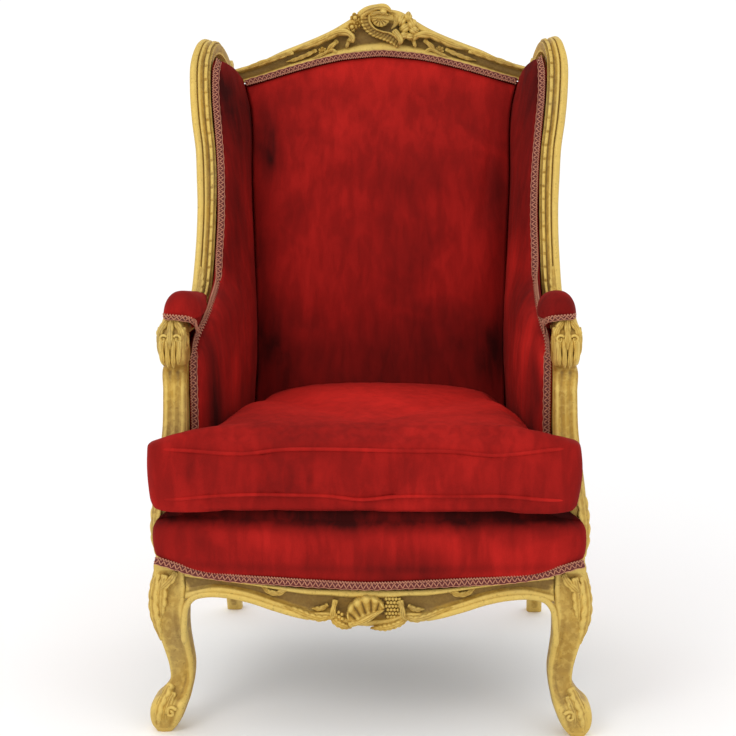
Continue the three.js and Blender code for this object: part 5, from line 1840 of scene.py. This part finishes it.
# ---- Studio ----------------------------------------------------------------------------------
@dataclass
class Studio:
    """Camera, lights and floor."""

    eye: tuple[float, float, float] = (119.8, -2488.7, 1057.8)
    yaw: float = 0.0478
    pitch: float = 0.1789
    roll: float = -0.0072
    lens: float = 78.26

    def camera(self) -> None:
        """Camera level with the top of the back, turned and tilted down a little."""
        cy, sy, cp, sp = np.cos(self.yaw), np.sin(self.yaw), np.cos(self.pitch), np.sin(self.pitch)
        right = np.array([cy, sy, 0.0])
        up = np.array([-sy * sp, cy * sp, cp])
        ahead = np.array([-sy * cp, cy * cp, -sp])
        cr, sr = np.cos(self.roll), np.sin(self.roll)
        x_axis, y_axis = cr * right + sr * up, cr * up - sr * right
        data = bpy.data.cameras.new("studio_camera")
        data.lens, data.sensor_width = self.lens, 36.0
        camera = bpy.data.objects.new("studio_camera", data)
        turn = Matrix((x_axis, y_axis, -ahead)).transposed().to_4x4()
        camera.matrix_world = Matrix.Translation(to_metres(np.array(self.eye))) @ turn
        bpy.context.scene.collection.objects.link(camera)
        bpy.context.scene.camera = camera

    def light(self, name: str, place: Sequence[float], size: float, power: float,
              colour: Sequence[float]) -> None:
        """Add a soft area light that looks at the middle of the chair."""
        data = bpy.data.lights.new(name, "AREA")
        data.shape, data.size, data.energy, data.color = "DISK", size, power, colour
        lamp = bpy.data.objects.new(name, data)
        lamp.location = place
        aim = Vector((0.0, 0.0, 0.6)) - Vector(place)
        lamp.rotation_euler = aim.to_track_quat("-Z", "Y").to_euler()
        bpy.context.scene.collection.objects.link(lamp)

    def floor(self) -> None:
        """Plain pale floor: one wide square."""
        mesh = bpy.data.meshes.new("studio_floor")
        reach = 20.0
        mesh.from_pydata([(-reach, -reach, 0), (reach, -reach, 0), (reach, reach, 0), (-reach, reach, 0)],
                         [],
                         [(0, 1, 2, 3)])
        floor = bpy.data.objects.new("studio_floor", mesh)
        bpy.context.scene.collection.objects.link(floor)
        g = Graph("studio_paper")
        g.set(Base_Color=(0.97, 0.97, 0.97, 1.0), Roughness=0.9)
        mesh.materials.append(g.material)

    def build(self) -> None:
        """Set up the studio."""
        self.camera()
        self.floor()
        self.light("key_softbox", (-1.6, -2.6, 2.6), 1.6, 24.0, (1.0, 0.98, 0.95))
        self.light("fill_softbox", (2.2, -2.4, 1.6), 1.8, 6.0, (0.97, 0.98, 1.0))
        world = bpy.data.worlds.new("studio_world")
        world.use_nodes = True
        world.node_tree.nodes["Background"].inputs["Color"].default_value = (1.0, 1.0, 1.0, 1.0)
        world.node_tree.nodes["Background"].inputs["Strength"].default_value = 1.06
        bpy.context.scene.world = world
        bpy.context.scene.view_settings.view_transform = "Standard"


def dress_kept_nodes(gilt: bpy.types.Material, lining: bpy.types.Material) -> None:
    """Give the CAD nodes that stay as they are their finish."""
    for name, material in (("back_rail", gilt), ("dust_cover", lining)):
        node = frame["nodes"][name]
        for slot in node.material_slots:
            slot.material = material
        if not node.material_slots:
            node.data.materials.append(material)


def main() -> None:
    """Build the studio and every piece of the throne."""
    logging.basicConfig(level=logging.INFO, format="%(name)s: %(message)s")
    Studio().build()
    gilt, velvet = Gilding().build(), Velvet().build()
    thread = BraidThread().build()
    dark = BraidThread("braid_tape_dark", (0.17, 0.012, 0.009, 1.0), (0.06, 0.005, 0.004, 1.0), 0.0).build()
    lining = Lining().build()
    shop = Workshop({Slot.GILT: gilt, Slot.VELVET: velvet, Slot.BRAID: thread, Slot.LINING: lining})
    for part in (FrontLegs(), ArmFrames(), WingFrames(), BackLegs(), SeatRails(), CrestRail(), SeatDeck(),
                 InsideBack(), Sides(), ArmPads(), SeatCushion(), Braids(dark)):
        LOG.info("making %s", type(part).__name__)
        part.build(shop)
    dress_kept_nodes(gilt, lining)
    LOG.info("%d pieces", shop.count)
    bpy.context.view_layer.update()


if __name__ == "__main__":
    main()
